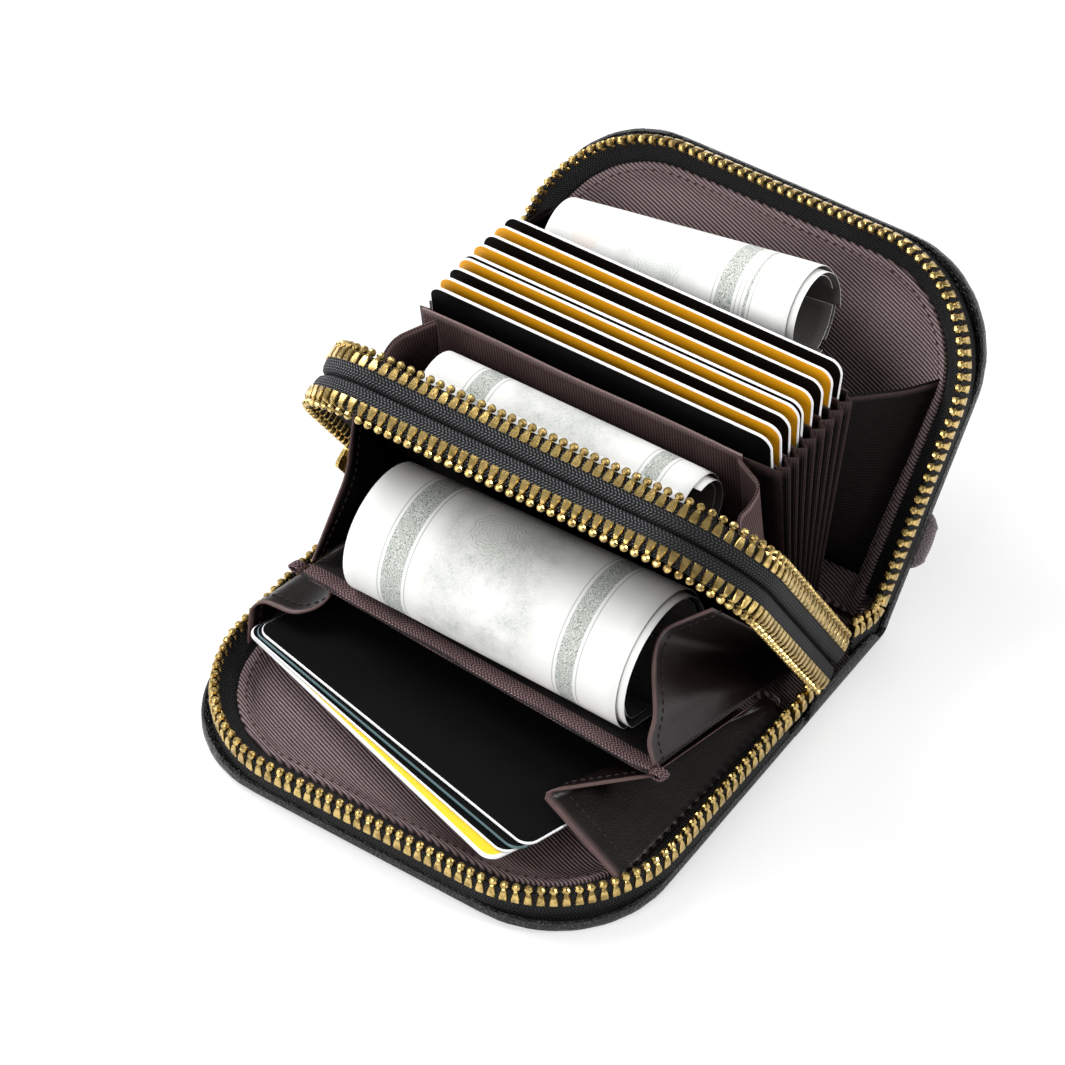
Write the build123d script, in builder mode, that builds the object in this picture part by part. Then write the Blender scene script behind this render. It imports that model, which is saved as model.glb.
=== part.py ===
from build123d import *
import math
import os

os.makedirs("parts", exist_ok=True)

# Driving sizes of the whole wallet, in millimetres and degrees
row_width = 110.0  # between the two side runs of a tooth row
row_height = 79.0  # from a fold line to the top run of a tooth row
compartment_depth = 16.0  # from one fold line to the next, and so two compartments
cover_row_radius = 30.0  # corner of the tooth row on a cover
divider_row_radius = 20.0  # corner of the two tooth rows on the divider
front_cover_lean = -90.0  # lean from upright, backwards positive: the front cover lies flat
divider_lean = -32.0
rear_cover_lean = 38.0

# Layers of a cover, from outside to inside
leather_thickness = 1.2
board_thickness = 0.7
lining_thickness = 0.6
leather_side_margin = 1.2  # leather outside the tooth row at the sides
leather_top_margin = 1.6  # leather outside the tooth row at the top
leather_radius = 27.0
leather_edge_chamfer = 0.4
board_inset = 1.6  # board inside the lining's edge
fold_gap = 0.3  # between a panel and the fold line that it turns about

# Zip tapes and teeth
tape_thickness = 0.8
tape_height = 6.1  # how far a tape stands up from the lining
tape_clearance = 0.1  # between a tape and the panel that it stands round
row_start = 6.0  # first tooth above the fold line, at the right-hand end
slider_row_start = 18.8  # first tooth above the fold line, at the end with the slider
tape_start = 6.0  # bottom edge of the tapes above the fold line
tooth_pitch = 2.6
tooth_width = 1.45
tooth_depth = 2.2
tooth_leg_height = 1.4
tooth_leg_overlap = 1.2  # how far the legs reach down over the tape
tooth_slot_clearance = 0.05
tooth_head_height = 1.5
tooth_head_taper = 12.0  # degrees

# Divider
divider_start = 1.0  # bottom edge above the fold line

# Front pocket, between the front cover and the divider
pocket_fold_y = -3.6
pocket_fold_height = 0.8  # fold line of the pocket above the lining
pocket_lean = -71.7
pocket_thickness = 0.7
pocket_width = 93.0
pocket_height = 54.0
pocket_start = 0.4
binding_thickness = 1.7
binding_depth = 5.0
binding_clearance = 0.03
tack_width = 2.0
tack_thickness = 2.0
tack_height = 3.6

# Accordion in the rear compartment
leaf_count = 10
fixed_leaf = 5  # the upright leaf, counted from the front
leaf_pitch = 1.5
first_leaf_y = 2.0
leaf_fold_height = 1.5  # fold line of the leaves above the lining
leaf_thickness = 0.5
leaf_width = 86.6
accordion_offset = -5.5  # its middle, to the left of the wallet's
leaf_height = 52.0
leaf_start = 0.2
leaf_corner_radius = 1.5
front_leaf_step = 2.0  # degrees from leaf to leaf in front of the fixed leaf
rear_leaf_step = 2.4  # degrees from leaf to leaf behind it
base_height = 1.2
base_margin = 0.6
pleat_thickness = 0.3
pleat_reach = 2.4  # how far a pleat stands out beyond the leaves
pleat_gap = 0.15
pleat_offset = 0.2  # from the middle of a leaf to the pleat that starts there
pleat_foot = 1.0

# Cards
card_width = 85.6
card_height = 53.98
card_thickness = 0.76
card_radius = 3.18
card_seat = 6.5  # bottom edge of a card above the fold line of its leaf
front_card_tilt = 7.6  # degrees up from the lining
front_card_pitch = 0.9
front_card_lift = 0.5
front_card_fan = (18.0, 15.6, 14.6, 13.6)  # degrees, from the lowest card to the top one
front_corner_x = (-52.5, -51.6, -50.9, -50.3)  # left front corner of each
front_corner_reach = (51.95, 52.6, 52.9, 53.1)  # the same corner above the fold line

# Rolled notes
note_thickness = 0.6
roll_lap = 1.6  # from one turn to the next
roll_half_turns = 3
roll_clearance = 0.4
front_roll_radius = 14.5
front_roll_length = 67.0
front_roll_offset = 1.0  # its middle, from the wallet's
front_roll_start = 200.0  # degrees, where the outer end of the notes lies
front_roll_rise = 0.0  # degrees, its right end up
middle_roll_radius = 9.8
middle_roll_length = 66.0
middle_roll_offset = -6.5
middle_roll_start = 120.0
middle_roll_rise = 0.0
rear_roll_radius = 11.5
rear_roll_length = 60.0
rear_roll_offset = -12.0
rear_roll_start = 300.0
rear_roll_rise = 6.5

# Gussets: each fold in from the linings' side edges, and its height as a share of half the gap
gusset_thickness = 0.5
gusset_clearance = 0.3
left_card_foot_insets = (1.3, 1.7, 10.0, 7.3)
left_card_edge_insets = (1.3, 1.9, 14.0, 7.3)
left_card_shares = (-1.0, -0.1, 0.72, 1.0)
right_card_foot_insets = (1.5, 4.0, 6.5)
right_card_edge_insets = (6.5, 13.5, 6.9)
right_card_shares = (-1.0, 0.62, 1.0)
left_cash_insets = (7.3, 8.3, 5.0)
left_cash_shares = (-1.0, 0.2, 1.0)
right_cash_insets = (7.3, 14.5, 6.0)
right_cash_shares = (-1.0, 0.55, 1.0)
left_middle_insets = (3.5, 2.6, 6.6)
left_middle_shares = (-1.0, 0.3, 1.0)
right_middle_insets = (5.5, 25.0, 17.4)
right_middle_shares = (-1.0, 0.72, 1.0)
left_rear_insets = (6.6, 2.6, 3.5)
left_rear_shares = (-1.0, 0.0, 1.0)
right_rear_insets = (17.4, 9.5, 5.0)
right_rear_shares = (-1.0, 0.0, 1.0)
cover_foot = 4.0  # where the gussets start, up each panel from its fold line
panel_foot = 9.0
pocket_foot = 16.0
cover_edge = 57.0  # where they end
pocket_edge = 49.0
divider_edge = 54.0
leaf_edge = 50.0
rear_cover_edge = 56.0

# Sliders
slider_length = 8.5
slider_nose_width = 11.0
slider_tail_width = 9.8
slider_corner = 1.2
slider_plate = 0.9
slider_mouth = 2.7  # between the two plates
slider_slit = 1.3  # between the lips, for the tape
slider_lip = 0.6
slider_park = 13.2  # middle of the parked slider above the fold line
slider_post_width = 1.3
slider_post_length = 2.2
slider_row_gap = 0.4  # between the post and the row's tips
bail_width = 2.2
bail_length = 5.0
bail_height = 2.2
bail_bar = 0.7
pull_length = 19.0
pull_width = 5.6
pull_thickness = 0.8
pull_bar = 0.8
pull_window_length = 3.7
pull_window_width = 3.0
pull_corner = 1.4

# Tab behind the rear cover
tab_length = 13.0
tab_width = 15.0
tab_thickness = 1.2
tab_height = 22.0  # its middle above the fold line
tab_overhang = 3.6  # beyond the leather's edge

# Stops at the zips' far ends
stop_length = 3.0
stop_width = 2.4
stop_height = 1.1

# Derived sizes
cover_thickness = leather_thickness + board_thickness + lining_thickness
row_tip = tape_height + tooth_leg_height - tooth_leg_overlap + tooth_head_height
divider_half = board_thickness / 2 + lining_thickness
leather_width = row_width + 2 * leather_side_margin
leather_height = row_height + leather_top_margin
inner_half_width = row_width / 2 - tape_thickness / 2 - tape_clearance
inner_height = row_height - tape_thickness / 2 - tape_clearance
leaf_fold_z = cover_thickness + leaf_fold_height
pocket_fold_z = cover_thickness + pocket_fold_height


def lean_plane(fold_y, fold_z, lean, faces_rear):
    # Local Y runs up the panel, and local Z is the way that the panel faces
    up = (0, math.sin(math.radians(lean)), math.cos(math.radians(lean)))
    facing = (0, up[2], -up[1]) if faces_rear else (0, -up[2], up[1])
    return Plane(origin=(0, fold_y, fold_z), x_dir=(-1 if faces_rear else 1, 0, 0), z_dir=facing)


def u_line(half_width, height, radius, plus_start, minus_start):
    # The three runs of a panel's edge, from its plus X side over the top to the other
    return FilletPolyline(
        (half_width, plus_start),
        (half_width, height),
        (-half_width, height),
        (-half_width, minus_start),
        radius=radius,
    )


def u_face(half_width, height, radius, start, mode=Mode.ADD):
    with BuildLine() as outline:
        u_line(half_width, height, radius, start, start)
        Line((-half_width, start), (half_width, start))
    make_face(outline.edges(), mode=mode)


def u_band(grow, radius, start):
    # A band along the tooth row, grow to each side of the row's line
    half = row_width / 2
    u_face(half + grow, row_height + grow, radius + grow, start)
    u_face(half - grow, row_height - grow, radius - grow, start, mode=Mode.SUBTRACT)


def keep(builder, name):
    builder.part.label = name
    export_step(builder.part, f"parts/{name}.step")


def make_cover(name, plane):
    with BuildPart() as leather:
        with BuildSketch(plane.offset(-cover_thickness)):
            u_face(leather_width / 2, leather_height, leather_radius, fold_gap)
        extrude(amount=leather_thickness)
        outer_face = leather.faces().sort_by(Axis(plane.origin, plane.z_dir))[0]
        fold_edge = outer_face.edges().sort_by(Axis(plane.origin, plane.y_dir))[0]
        rim = [edge for edge in outer_face.edges() if edge != fold_edge]
        chamfer(rim, length=leather_edge_chamfer)
    keep(leather, f"{name}_leather")

    with BuildPart() as board:
        with BuildSketch(plane.offset(leather_thickness - cover_thickness)):
            u_face(
                inner_half_width - board_inset,
                inner_height - board_inset,
                cover_row_radius - board_inset,
                fold_gap,
            )
        extrude(amount=board_thickness)
    keep(board, f"{name}_board")

    with BuildPart() as lining:
        with BuildSketch(plane.offset(-lining_thickness)):
            u_face(inner_half_width, inner_height, cover_row_radius, fold_gap)
        extrude(amount=lining_thickness)
    keep(lining, f"{name}_lining")

    with BuildPart() as tape:
        with BuildSketch(plane.offset(leather_thickness - cover_thickness)):
            u_band(tape_thickness / 2, cover_row_radius, tape_start)
        extrude(amount=tape_height + board_thickness + lining_thickness)
    keep(tape, f"{name}_tape")


def tooth_places(radius, slider_at_plus):
    # Even places along the row, each turned to stand square to it
    plus_start = slider_row_start if slider_at_plus else row_start
    minus_start = row_start if slider_at_plus else slider_row_start
    with BuildLine() as row:
        u_line(row_width / 2, row_height, radius, plus_start, minus_start)
    path = row.wire()
    count = int(path.length / tooth_pitch)
    places = []
    for index in range(count):
        share = (index + 1 / 2) / count
        point = path.position_at(share)
        along = path.tangent_at(share)
        turn = math.degrees(math.atan2(along.Y, along.X))
        places.append(Location((point.X, point.Y, 0), (0, 0, turn)))
    return places


def make_teeth(name, plane, radius, slider_at_plus):
    places = tooth_places(radius, slider_at_plus)
    leg_bottom = tape_height - tooth_leg_overlap
    slot = tape_thickness / 2 + tooth_slot_clearance
    with BuildPart() as teeth:
        with BuildSketch(plane.offset(leg_bottom)):
            with Locations(*places):
                Rectangle(tooth_width, tooth_depth)
            with BuildLine():
                u_line(row_width / 2 + slot, row_height + slot, radius + slot, 0, 0)
                Line((-row_width / 2 - slot, 0), (-row_width / 2 + slot, 0))
                u_line(row_width / 2 - slot, row_height - slot, radius - slot, 0, 0)
                Line((row_width / 2 + slot, 0), (row_width / 2 - slot, 0))
            make_face(mode=Mode.SUBTRACT)
        extrude(amount=tooth_leg_height)
        with BuildSketch(plane.offset(leg_bottom + tooth_leg_height)):
            with Locations(*places):
                Rectangle(tooth_width, tooth_depth)
        extrude(amount=tooth_head_height, taper=tooth_head_taper)
    keep(teeth, name)


# The planes of the panels at rest: open, as the wallet stands on its spine and front cover
front_plane = lean_plane(-compartment_depth, cover_thickness, front_cover_lean, True)
divider_rear_plane = lean_plane(0, cover_thickness, divider_lean, True)
divider_front_plane = lean_plane(0, cover_thickness, divider_lean, False)
rear_plane = lean_plane(compartment_depth, cover_thickness, rear_cover_lean, False)
pocket_plane = lean_plane(pocket_fold_y, pocket_fold_z, pocket_lean, True)

# Covers, with their tapes and teeth
make_cover("front_cover", front_plane)
make_teeth("front_cover_teeth", front_plane, cover_row_radius, True)
make_cover("rear_cover", rear_plane)
make_teeth("rear_cover_teeth", rear_plane, cover_row_radius, False)


# Divider: a board between two linings, and the two tapes that meet on its middle
with BuildPart() as divider_board:
    with BuildSketch(divider_rear_plane):
        u_face(
            inner_half_width - board_inset,
            inner_height - board_inset,
            divider_row_radius - board_inset,
            divider_start,
        )
    extrude(amount=board_thickness / 2, both=True)
keep(divider_board, "divider_board")

for side, plane, slider_at_plus in (
    ("front", divider_front_plane, False),
    ("rear", divider_rear_plane, True),
):
    with BuildPart() as divider_lining:
        with BuildSketch(plane.offset(board_thickness / 2)):
            u_face(inner_half_width, inner_height, divider_row_radius, divider_start)
        extrude(amount=lining_thickness)
    keep(divider_lining, f"divider_{side}_lining")

    with BuildPart() as divider_tape:
        with BuildSketch(plane):
            u_band(tape_thickness / 2, divider_row_radius, tape_start)
        extrude(amount=tape_height)
    keep(divider_tape, f"divider_{side}_tape")
    make_teeth(f"divider_{side}_teeth", plane, divider_row_radius, slider_at_plus)


# Spine: leather outside, lining inside, and the sewn strip that carries the accordion
with BuildPart() as spine_leather:
    with BuildSketch():
        Rectangle(leather_width, 2 * compartment_depth)
    extrude(amount=leather_thickness)
    chamfer(spine_leather.faces().sort_by(Axis.Z)[0].edges().filter_by(Axis.Y), leather_edge_chamfer)
keep(spine_leather, "spine_leather")

with BuildPart() as spine_lining:
    with BuildSketch(Plane.XY.offset(leather_thickness)):
        Rectangle(leather_width, 2 * compartment_depth)
    extrude(amount=board_thickness + lining_thickness)
keep(spine_lining, "spine_lining")

last_leaf_y = first_leaf_y + (leaf_count - 1) * leaf_pitch
with BuildPart() as accordion_base:
    with BuildSketch(Plane.XY.offset(cover_thickness)):
        with Locations((accordion_offset, (first_leaf_y + last_leaf_y) / 2)):
            Rectangle(leaf_width, last_leaf_y - first_leaf_y + base_margin)
    extrude(amount=base_height)
keep(accordion_base, "accordion_base")

with BuildPart() as zip_stops:
    with BuildSketch(Plane.XY.offset(cover_thickness)):
        for stop_y in (-compartment_depth / 2, compartment_depth / 2):
            with Locations((row_width / 2, stop_y)):
                Rectangle(stop_width, stop_length)
    extrude(amount=stop_height)
keep(zip_stops, "zip_stops")


# Front pocket: the panel, the binding over its top edge, and the tacks at its pinched ends
with BuildPart() as pocket_panel:
    with BuildSketch(pocket_plane):
        with Locations((0, (pocket_start + pocket_height) / 2)):
            Rectangle(pocket_width, pocket_height - pocket_start)
    extrude(amount=pocket_thickness / 2, both=True)
keep(pocket_panel, "pocket_panel")

with BuildPart() as pocket_binding:
    slot_half = pocket_thickness / 2 + binding_clearance
    slot_top = pocket_height + binding_clearance
    bind_half = binding_thickness / 2
    bind_foot = pocket_height - binding_depth
    with BuildSketch(Plane(pocket_plane.origin, x_dir=pocket_plane.z_dir, z_dir=-pocket_plane.x_dir)):
        with BuildLine():
            Polyline((bind_half, pocket_height), (bind_half, bind_foot), (slot_half, bind_foot))
            Polyline((slot_half, bind_foot), (slot_half, slot_top), (-slot_half, slot_top))
            Polyline((-slot_half, slot_top), (-slot_half, bind_foot), (-bind_half, bind_foot))
            Line((-bind_half, bind_foot), (-bind_half, pocket_height))
            CenterArc((0, pocket_height), bind_half, 0, 180)
        make_face()
    extrude(amount=pocket_width / 2, both=True)
keep(pocket_binding, "pocket_binding")

with BuildPart() as pocket_tacks:
    with BuildSketch(pocket_plane.offset(-tack_thickness / 2)):
        for way in (-1, 1):
            with Locations((way * (pocket_width + tack_width) / 2, pocket_height - tack_height / 2)):
                Rectangle(tack_width, tack_height)
    extrude(amount=tack_thickness)
keep(pocket_tacks, "pocket_tacks")


# Accordion: the leaves, each on its own fold line, and the pleats that join their ends
def leaf_plane(number, faces_rear):
    steps = number - fixed_leaf
    lean = steps * (rear_leaf_step if steps > 0 else front_leaf_step)
    return lean_plane(first_leaf_y + (number - 1) * leaf_pitch, leaf_fold_z, lean, faces_rear)


for number in range(1, leaf_count + 1):
    with BuildPart() as leaf:
        with BuildSketch(leaf_plane(number, True)) as leaf_outline:
            with Locations((-accordion_offset, (leaf_start + leaf_height) / 2)):
                Rectangle(leaf_width, leaf_height - leaf_start)
            fillet(leaf_outline.vertices().group_by(Axis.Y)[-1], leaf_corner_radius)
        extrude(amount=leaf_thickness / 2, both=True)
    keep(leaf, f"accordion_leaf_{number:02d}")


def band_points(points, thickness):
    # The outline of a folded band about a line of points, with square ends and mitred folds
    ways = []
    for start, end in zip(points, points[1:]):
        length = math.hypot(end[0] - start[0], end[1] - start[1])
        ways.append(((end[0] - start[0]) / length, (end[1] - start[1]) / length))
    ways = [ways[0]] + ways + [ways[-1]]
    one_side = []
    other_side = []
    for point, before, after in zip(points, ways, ways[1:]):
        across = (-before[1] - after[1], before[0] + after[0])
        reach = thickness / (1 + before[0] * after[0] + before[1] * after[1]) / 2
        one_side.append((point[0] + reach * across[0], point[1] + reach * across[1]))
        other_side.append((point[0] - reach * across[0], point[1] - reach * across[1]))
    return one_side + other_side[::-1]


def pleat_section(number, reach, way):
    # A V from the end of one leaf to the end of the next, at one height
    first = leaf_plane(number, True).from_local_coords(Vector(0, reach, pleat_offset))
    second = leaf_plane(number + 1, True).from_local_coords(Vector(0, reach, -pleat_offset))
    end_x = accordion_offset + way * (leaf_width / 2 + pleat_gap)
    fold_x = end_x + way * pleat_reach
    points = [(end_x, first.Y), (fold_x, (first.Y + second.Y) / 2), (end_x, second.Y)]
    return Plane.XY.offset((first.Z + second.Z) / 2), points


for name, numbers in (
    ("front_pleats", range(1, fixed_leaf)),
    ("rear_pleats", range(fixed_leaf, leaf_count)),
):
    with BuildPart() as pleats:
        for number in numbers:
            for way in (-1, 1):
                for reach in (pleat_foot, leaf_height - leaf_corner_radius):
                    level, points = pleat_section(number, reach, way)
                    with BuildSketch(level):
                        Polygon(*band_points(points, pleat_thickness), align=None)
                loft(ruled=True)
    keep(pleats, name)


# Gussets: folded strips that close the ends of the compartments
def gusset_section(first, first_reach, second, second_reach, fold_x, shares):
    # A plane through one point on each panel, and the folds between them
    low = first.from_local_coords(Vector(0, first_reach, gusset_clearance + gusset_thickness / 2))
    high = second.from_local_coords(Vector(0, second_reach, gusset_clearance + gusset_thickness / 2))
    low.X = high.X = 0
    across = high - low
    section = Plane(origin=(low + high) / 2, x_dir=(1, 0, 0), z_dir=Vector(1, 0, 0).cross(across))
    return section, [(x, share * across.length / 2) for x, share in zip(fold_x, shares)]


def make_gussets(name, strips):
    # Each strip lies between two faces, at one side, with a section at its foot and one at its edge
    with BuildPart() as gussets:
        for first, second, way, shares, sections in strips:
            for first_reach, second_reach, insets in sections:
                fold_x = [way * (inner_half_width - inset) for inset in insets]
                section, points = gusset_section(first, first_reach, second, second_reach, fold_x, shares)
                with BuildSketch(section):
                    Polygon(*band_points(points, gusset_thickness), align=None)
            loft(ruled=True)
    keep(gussets, name)


def plain_strips(first, second, foot, edge, left, right):
    # The same folds at the foot and at the edge
    strips = []
    for way, (insets, shares) in ((-1, left), (1, right)):
        strips.append((first, second, way, shares, [(*foot, insets), (*edge, insets)]))
    return strips


pocket_under_plane = lean_plane(pocket_fold_y, pocket_fold_z, pocket_lean, False)
pocket_front_face = pocket_under_plane.offset(pocket_thickness / 2)
pocket_rear_face = pocket_plane.offset(pocket_thickness / 2)
divider_front_face = divider_front_plane.offset(divider_half)
divider_rear_face = divider_rear_plane.offset(divider_half)
first_leaf_face = leaf_plane(1, False).offset(leaf_thickness / 2)
last_leaf_face = leaf_plane(leaf_count, True).offset(leaf_thickness / 2)

front_strips = plain_strips(
    pocket_rear_face,
    divider_front_face,
    (pocket_foot, panel_foot),
    (pocket_edge, divider_edge),
    (left_cash_insets, left_cash_shares),
    (right_cash_insets, right_cash_shares),
)
for way, foot_insets, edge_insets, shares in (
    (-1, left_card_foot_insets, left_card_edge_insets, left_card_shares),
    (1, right_card_foot_insets, right_card_edge_insets, right_card_shares),
):
    sections = [(cover_foot, pocket_foot, foot_insets), (cover_edge, pocket_edge, edge_insets)]
    front_strips.append((front_plane, pocket_front_face, way, shares, sections))
make_gussets("front_gussets", front_strips)

middle_strips = plain_strips(
    divider_rear_face,
    first_leaf_face,
    (panel_foot, panel_foot),
    (leaf_edge, leaf_edge),
    (left_middle_insets, left_middle_shares),
    (right_middle_insets, right_middle_shares),
)
make_gussets("middle_gussets", middle_strips)

rear_strips = plain_strips(
    last_leaf_face,
    rear_plane,
    (panel_foot, panel_foot),
    (leaf_edge, rear_cover_edge),
    (left_rear_insets, left_rear_shares),
    (right_rear_insets, right_rear_shares),
)
make_gussets("rear_gussets", rear_strips)


# Cards: one in each gap of the accordion, parallel to the leaf nearer to the fixed one
def make_card(name, plane, middle, turn):
    with BuildPart() as card:
        with BuildSketch(plane):
            with Locations(Location((middle[0], middle[1], 0), (0, 0, turn))):
                RectangleRounded(card_width, card_height, card_radius)
        extrude(amount=card_thickness / 2, both=True)
    keep(card, name)


for gap in range(1, leaf_count):
    if gap < fixed_leaf:
        card_plane = leaf_plane(gap + 1, True).offset(-leaf_pitch / 2)
    else:
        card_plane = leaf_plane(gap, True).offset(leaf_pitch / 2)
    make_card(f"rear_card_{gap}", card_plane, (-accordion_offset, card_seat + card_height / 2), 0)

# Cards in the front pocket, fanned about their left front corners
for index, fan in enumerate(front_card_fan):
    level = cover_thickness + front_card_lift + index * front_card_pitch
    card_plane = lean_plane(-compartment_depth, level, front_cover_lean + front_card_tilt, True)
    ahead = (-math.cos(math.radians(fan)), math.sin(math.radians(fan)))
    outward = (ahead[1], -ahead[0])
    corner = (-front_corner_x[index], front_corner_reach[index])
    middle = [
        corner[axis] + ahead[axis] * card_width / 2 - outward[axis] * card_height / 2 for axis in (0, 1)
    ]
    make_card(f"front_card_{index + 1}", card_plane, middle, -fan)


# Rolled notes, each laid in the wedge between two panels
def wedge_middle(first, second, radius):
    # The middle of a roll that stands off both faces by the clearance
    reach = radius + roll_clearance
    a, b = first.z_dir.Y, first.z_dir.Z
    c, d = second.z_dir.Y, second.z_dir.Z
    first_sum = a * first.origin.Y + b * first.origin.Z + reach
    second_sum = c * second.origin.Y + d * second.origin.Z + reach
    spread = a * d - b * c
    return ((first_sum * d - second_sum * b) / spread, (second_sum * a - first_sum * c) / spread)


def make_roll(name, first, second, radius, length, offset, start, rise):
    # Half turns about two centres make the spiral; its right end can rise between the two faces
    up = (first.y_dir + second.y_dir).normalized()
    axis = Vector(1, 0, 0) * math.cos(math.radians(rise)) + up * math.sin(math.radians(rise))
    left_end = Vector(offset - length / 2, *wedge_middle(first, second, radius))
    with BuildPart() as roll:
        with BuildSketch(Plane(left_end, x_dir=(0, 1, 0), z_dir=axis)):
            with BuildLine():
                middle = (0, 0)
                for half_turn in range(roll_half_turns):
                    turn_radius = radius - note_thickness / 2 - half_turn * roll_lap / 2
                    rims = [turn_radius - note_thickness / 2, turn_radius + note_thickness / 2]
                    angle = start + half_turn * 180
                    for rim in rims:
                        CenterArc(middle, rim, angle, 180)
                    way = (math.cos(math.radians(angle + 180)), math.sin(math.radians(angle + 180)))
                    if half_turn == 0:
                        Line(*[(middle[0] - rim * way[0], middle[1] - rim * way[1]) for rim in rims])
                    if half_turn == roll_half_turns - 1:
                        Line(*[(middle[0] + rim * way[0], middle[1] + rim * way[1]) for rim in rims])
                    middle = (middle[0] + way[0] * roll_lap / 2, middle[1] + way[1] * roll_lap / 2)
            make_face()
        extrude(amount=length)
    keep(roll, name)


make_roll(
    "front_note_roll",
    pocket_rear_face,
    divider_front_face,
    front_roll_radius,
    front_roll_length,
    front_roll_offset,
    front_roll_start,
    front_roll_rise,
)
make_roll(
    "middle_note_roll",
    divider_rear_face,
    first_leaf_face,
    middle_roll_radius,
    middle_roll_length,
    middle_roll_offset,
    middle_roll_start,
    middle_roll_rise,
)
make_roll(
    "rear_note_roll",
    last_leaf_face,
    rear_plane,
    rear_roll_radius,
    rear_roll_length,
    rear_roll_offset,
    rear_roll_start,
    rear_roll_rise,
)


# Sliders on the divider's left side runs, each with its bail and its pull
def slider_plane(side_plane):
    # Local X across the two rows, local Y up the row, local Z outwards
    reach = row_tip + slider_row_gap + slider_post_width / 2
    middle = side_plane.origin + side_plane.y_dir * slider_park + side_plane.z_dir * reach
    middle.X = -row_width / 2
    return Plane(origin=middle, x_dir=divider_front_plane.z_dir, z_dir=(-1, 0, 0))


def slider_outline():
    nose = slider_nose_width / 2
    tail = slider_tail_width / 2
    half = slider_length / 2
    Polygon((-tail, -half), (tail, -half), (nose, half), (-nose, half), align=None)


def make_slider(name, plane):
    outer = slider_mouth / 2
    with BuildPart() as slider:
        for level in (outer, -outer - slider_plate):
            with BuildSketch(plane.offset(level)) as plate_outline:
                slider_outline()
                fillet(plate_outline.vertices(), slider_corner)
            extrude(amount=slider_plate)
        for level in (slider_slit / 2, -outer):
            with BuildSketch(plane.offset(level)) as lips:
                slider_outline()
                fillet(lips.vertices(), slider_corner)
                offset(amount=-slider_lip, mode=Mode.SUBTRACT)
                Rectangle(slider_tail_width - 2 * slider_lip, slider_length, mode=Mode.SUBTRACT)
            extrude(amount=outer - slider_slit / 2)
        with BuildSketch(plane):
            with Locations((0, (slider_length - slider_post_length) / 2)):
                Rectangle(slider_post_width, slider_post_length)
        extrude(amount=outer, both=True)
        with BuildSketch(Plane(plane.origin, x_dir=plane.y_dir, z_dir=plane.x_dir)):
            with Locations((0, outer + slider_plate + bail_height / 2)):
                Rectangle(bail_length, bail_height)
            with Locations((0, outer + slider_plate + (bail_height - bail_bar) / 2)):
                Rectangle(bail_length - 2 * bail_bar, bail_height - bail_bar, mode=Mode.SUBTRACT)
        extrude(amount=bail_width / 2, both=True)
    keep(slider, name)


def make_pull(name, plane):
    level = slider_mouth / 2 + slider_plate + (bail_height - bail_bar) / 2 - pull_thickness / 2
    with BuildPart() as pull:
        with BuildSketch(plane.offset(level)) as pull_outline:
            with Locations((0, (pull_length - pull_bar) / 2)):
                Rectangle(pull_width, pull_length)
            fillet(pull_outline.vertices(), pull_corner)
            with Locations((0, (pull_window_length + pull_bar) / 2)):
                Rectangle(pull_window_width, pull_window_length, mode=Mode.SUBTRACT)
        extrude(amount=pull_thickness)
    keep(pull, name)


for side, plane in (("front", divider_front_plane), ("rear", divider_rear_plane)):
    make_slider(f"{side}_slider", slider_plane(plane))
    make_pull(f"{side}_pull", slider_plane(plane))

# Tab sewn to the back of the rear cover at its right edge
with BuildPart() as side_tab:
    with BuildSketch(rear_plane.offset(-cover_thickness - tab_thickness)) as tab_outline:
        with Locations((leather_width / 2 + tab_overhang - tab_width / 2, tab_height)):
            Rectangle(tab_width, tab_length)
        fillet(tab_outline.vertices().group_by(Axis.X)[-1], tab_length / 3)
    extrude(amount=tab_thickness)
keep(side_tab, "side_tab")
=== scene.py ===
import bpy
import bmesh
import math
from mathutils import Matrix, Vector


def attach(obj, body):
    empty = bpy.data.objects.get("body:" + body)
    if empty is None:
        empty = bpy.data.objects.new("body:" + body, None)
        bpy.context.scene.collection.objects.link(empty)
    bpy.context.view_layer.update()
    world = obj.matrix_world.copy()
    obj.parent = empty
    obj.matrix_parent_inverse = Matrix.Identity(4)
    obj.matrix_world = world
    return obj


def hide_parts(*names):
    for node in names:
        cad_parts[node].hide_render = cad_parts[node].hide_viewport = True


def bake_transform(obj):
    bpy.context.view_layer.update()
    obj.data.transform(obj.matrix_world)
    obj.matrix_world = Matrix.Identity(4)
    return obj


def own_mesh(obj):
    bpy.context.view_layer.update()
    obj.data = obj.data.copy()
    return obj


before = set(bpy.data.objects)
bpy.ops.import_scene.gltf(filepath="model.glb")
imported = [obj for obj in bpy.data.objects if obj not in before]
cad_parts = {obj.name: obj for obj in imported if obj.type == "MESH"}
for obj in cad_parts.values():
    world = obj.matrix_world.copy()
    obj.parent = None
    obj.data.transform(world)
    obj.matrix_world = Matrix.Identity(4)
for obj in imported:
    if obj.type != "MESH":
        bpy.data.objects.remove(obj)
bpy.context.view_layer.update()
mm = 0.001

# The panels as they stand: fold line, lean from upright, and which way the lined face looks
foldLines = {
    "front": (-16.0, 2.5, -90.0, 1),
    "divider": (0.0, 2.5, -32.0, 1),
    "rear": (16.0, 2.5, 38.0, -1),
    "pocket": (-3.6, 3.3, -71.7, 1),
}
row = {
    "half": 55.0, "height": 79.0, "coverRadius": 30.0, "dividerRadius": 20.0,
    "rightStart": 6.0, "leftStart": 18.8,  # the sliders stand at the left
}


def panelAt(foldY, foldZ, lean, way=1):
    turn = math.radians(lean)
    up = Vector((0, math.sin(turn), math.cos(turn)))
    return {"fold": Vector((0, foldY, foldZ)), "up": up, "face": Vector((0, up.z, -up.y)) * way}


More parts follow.
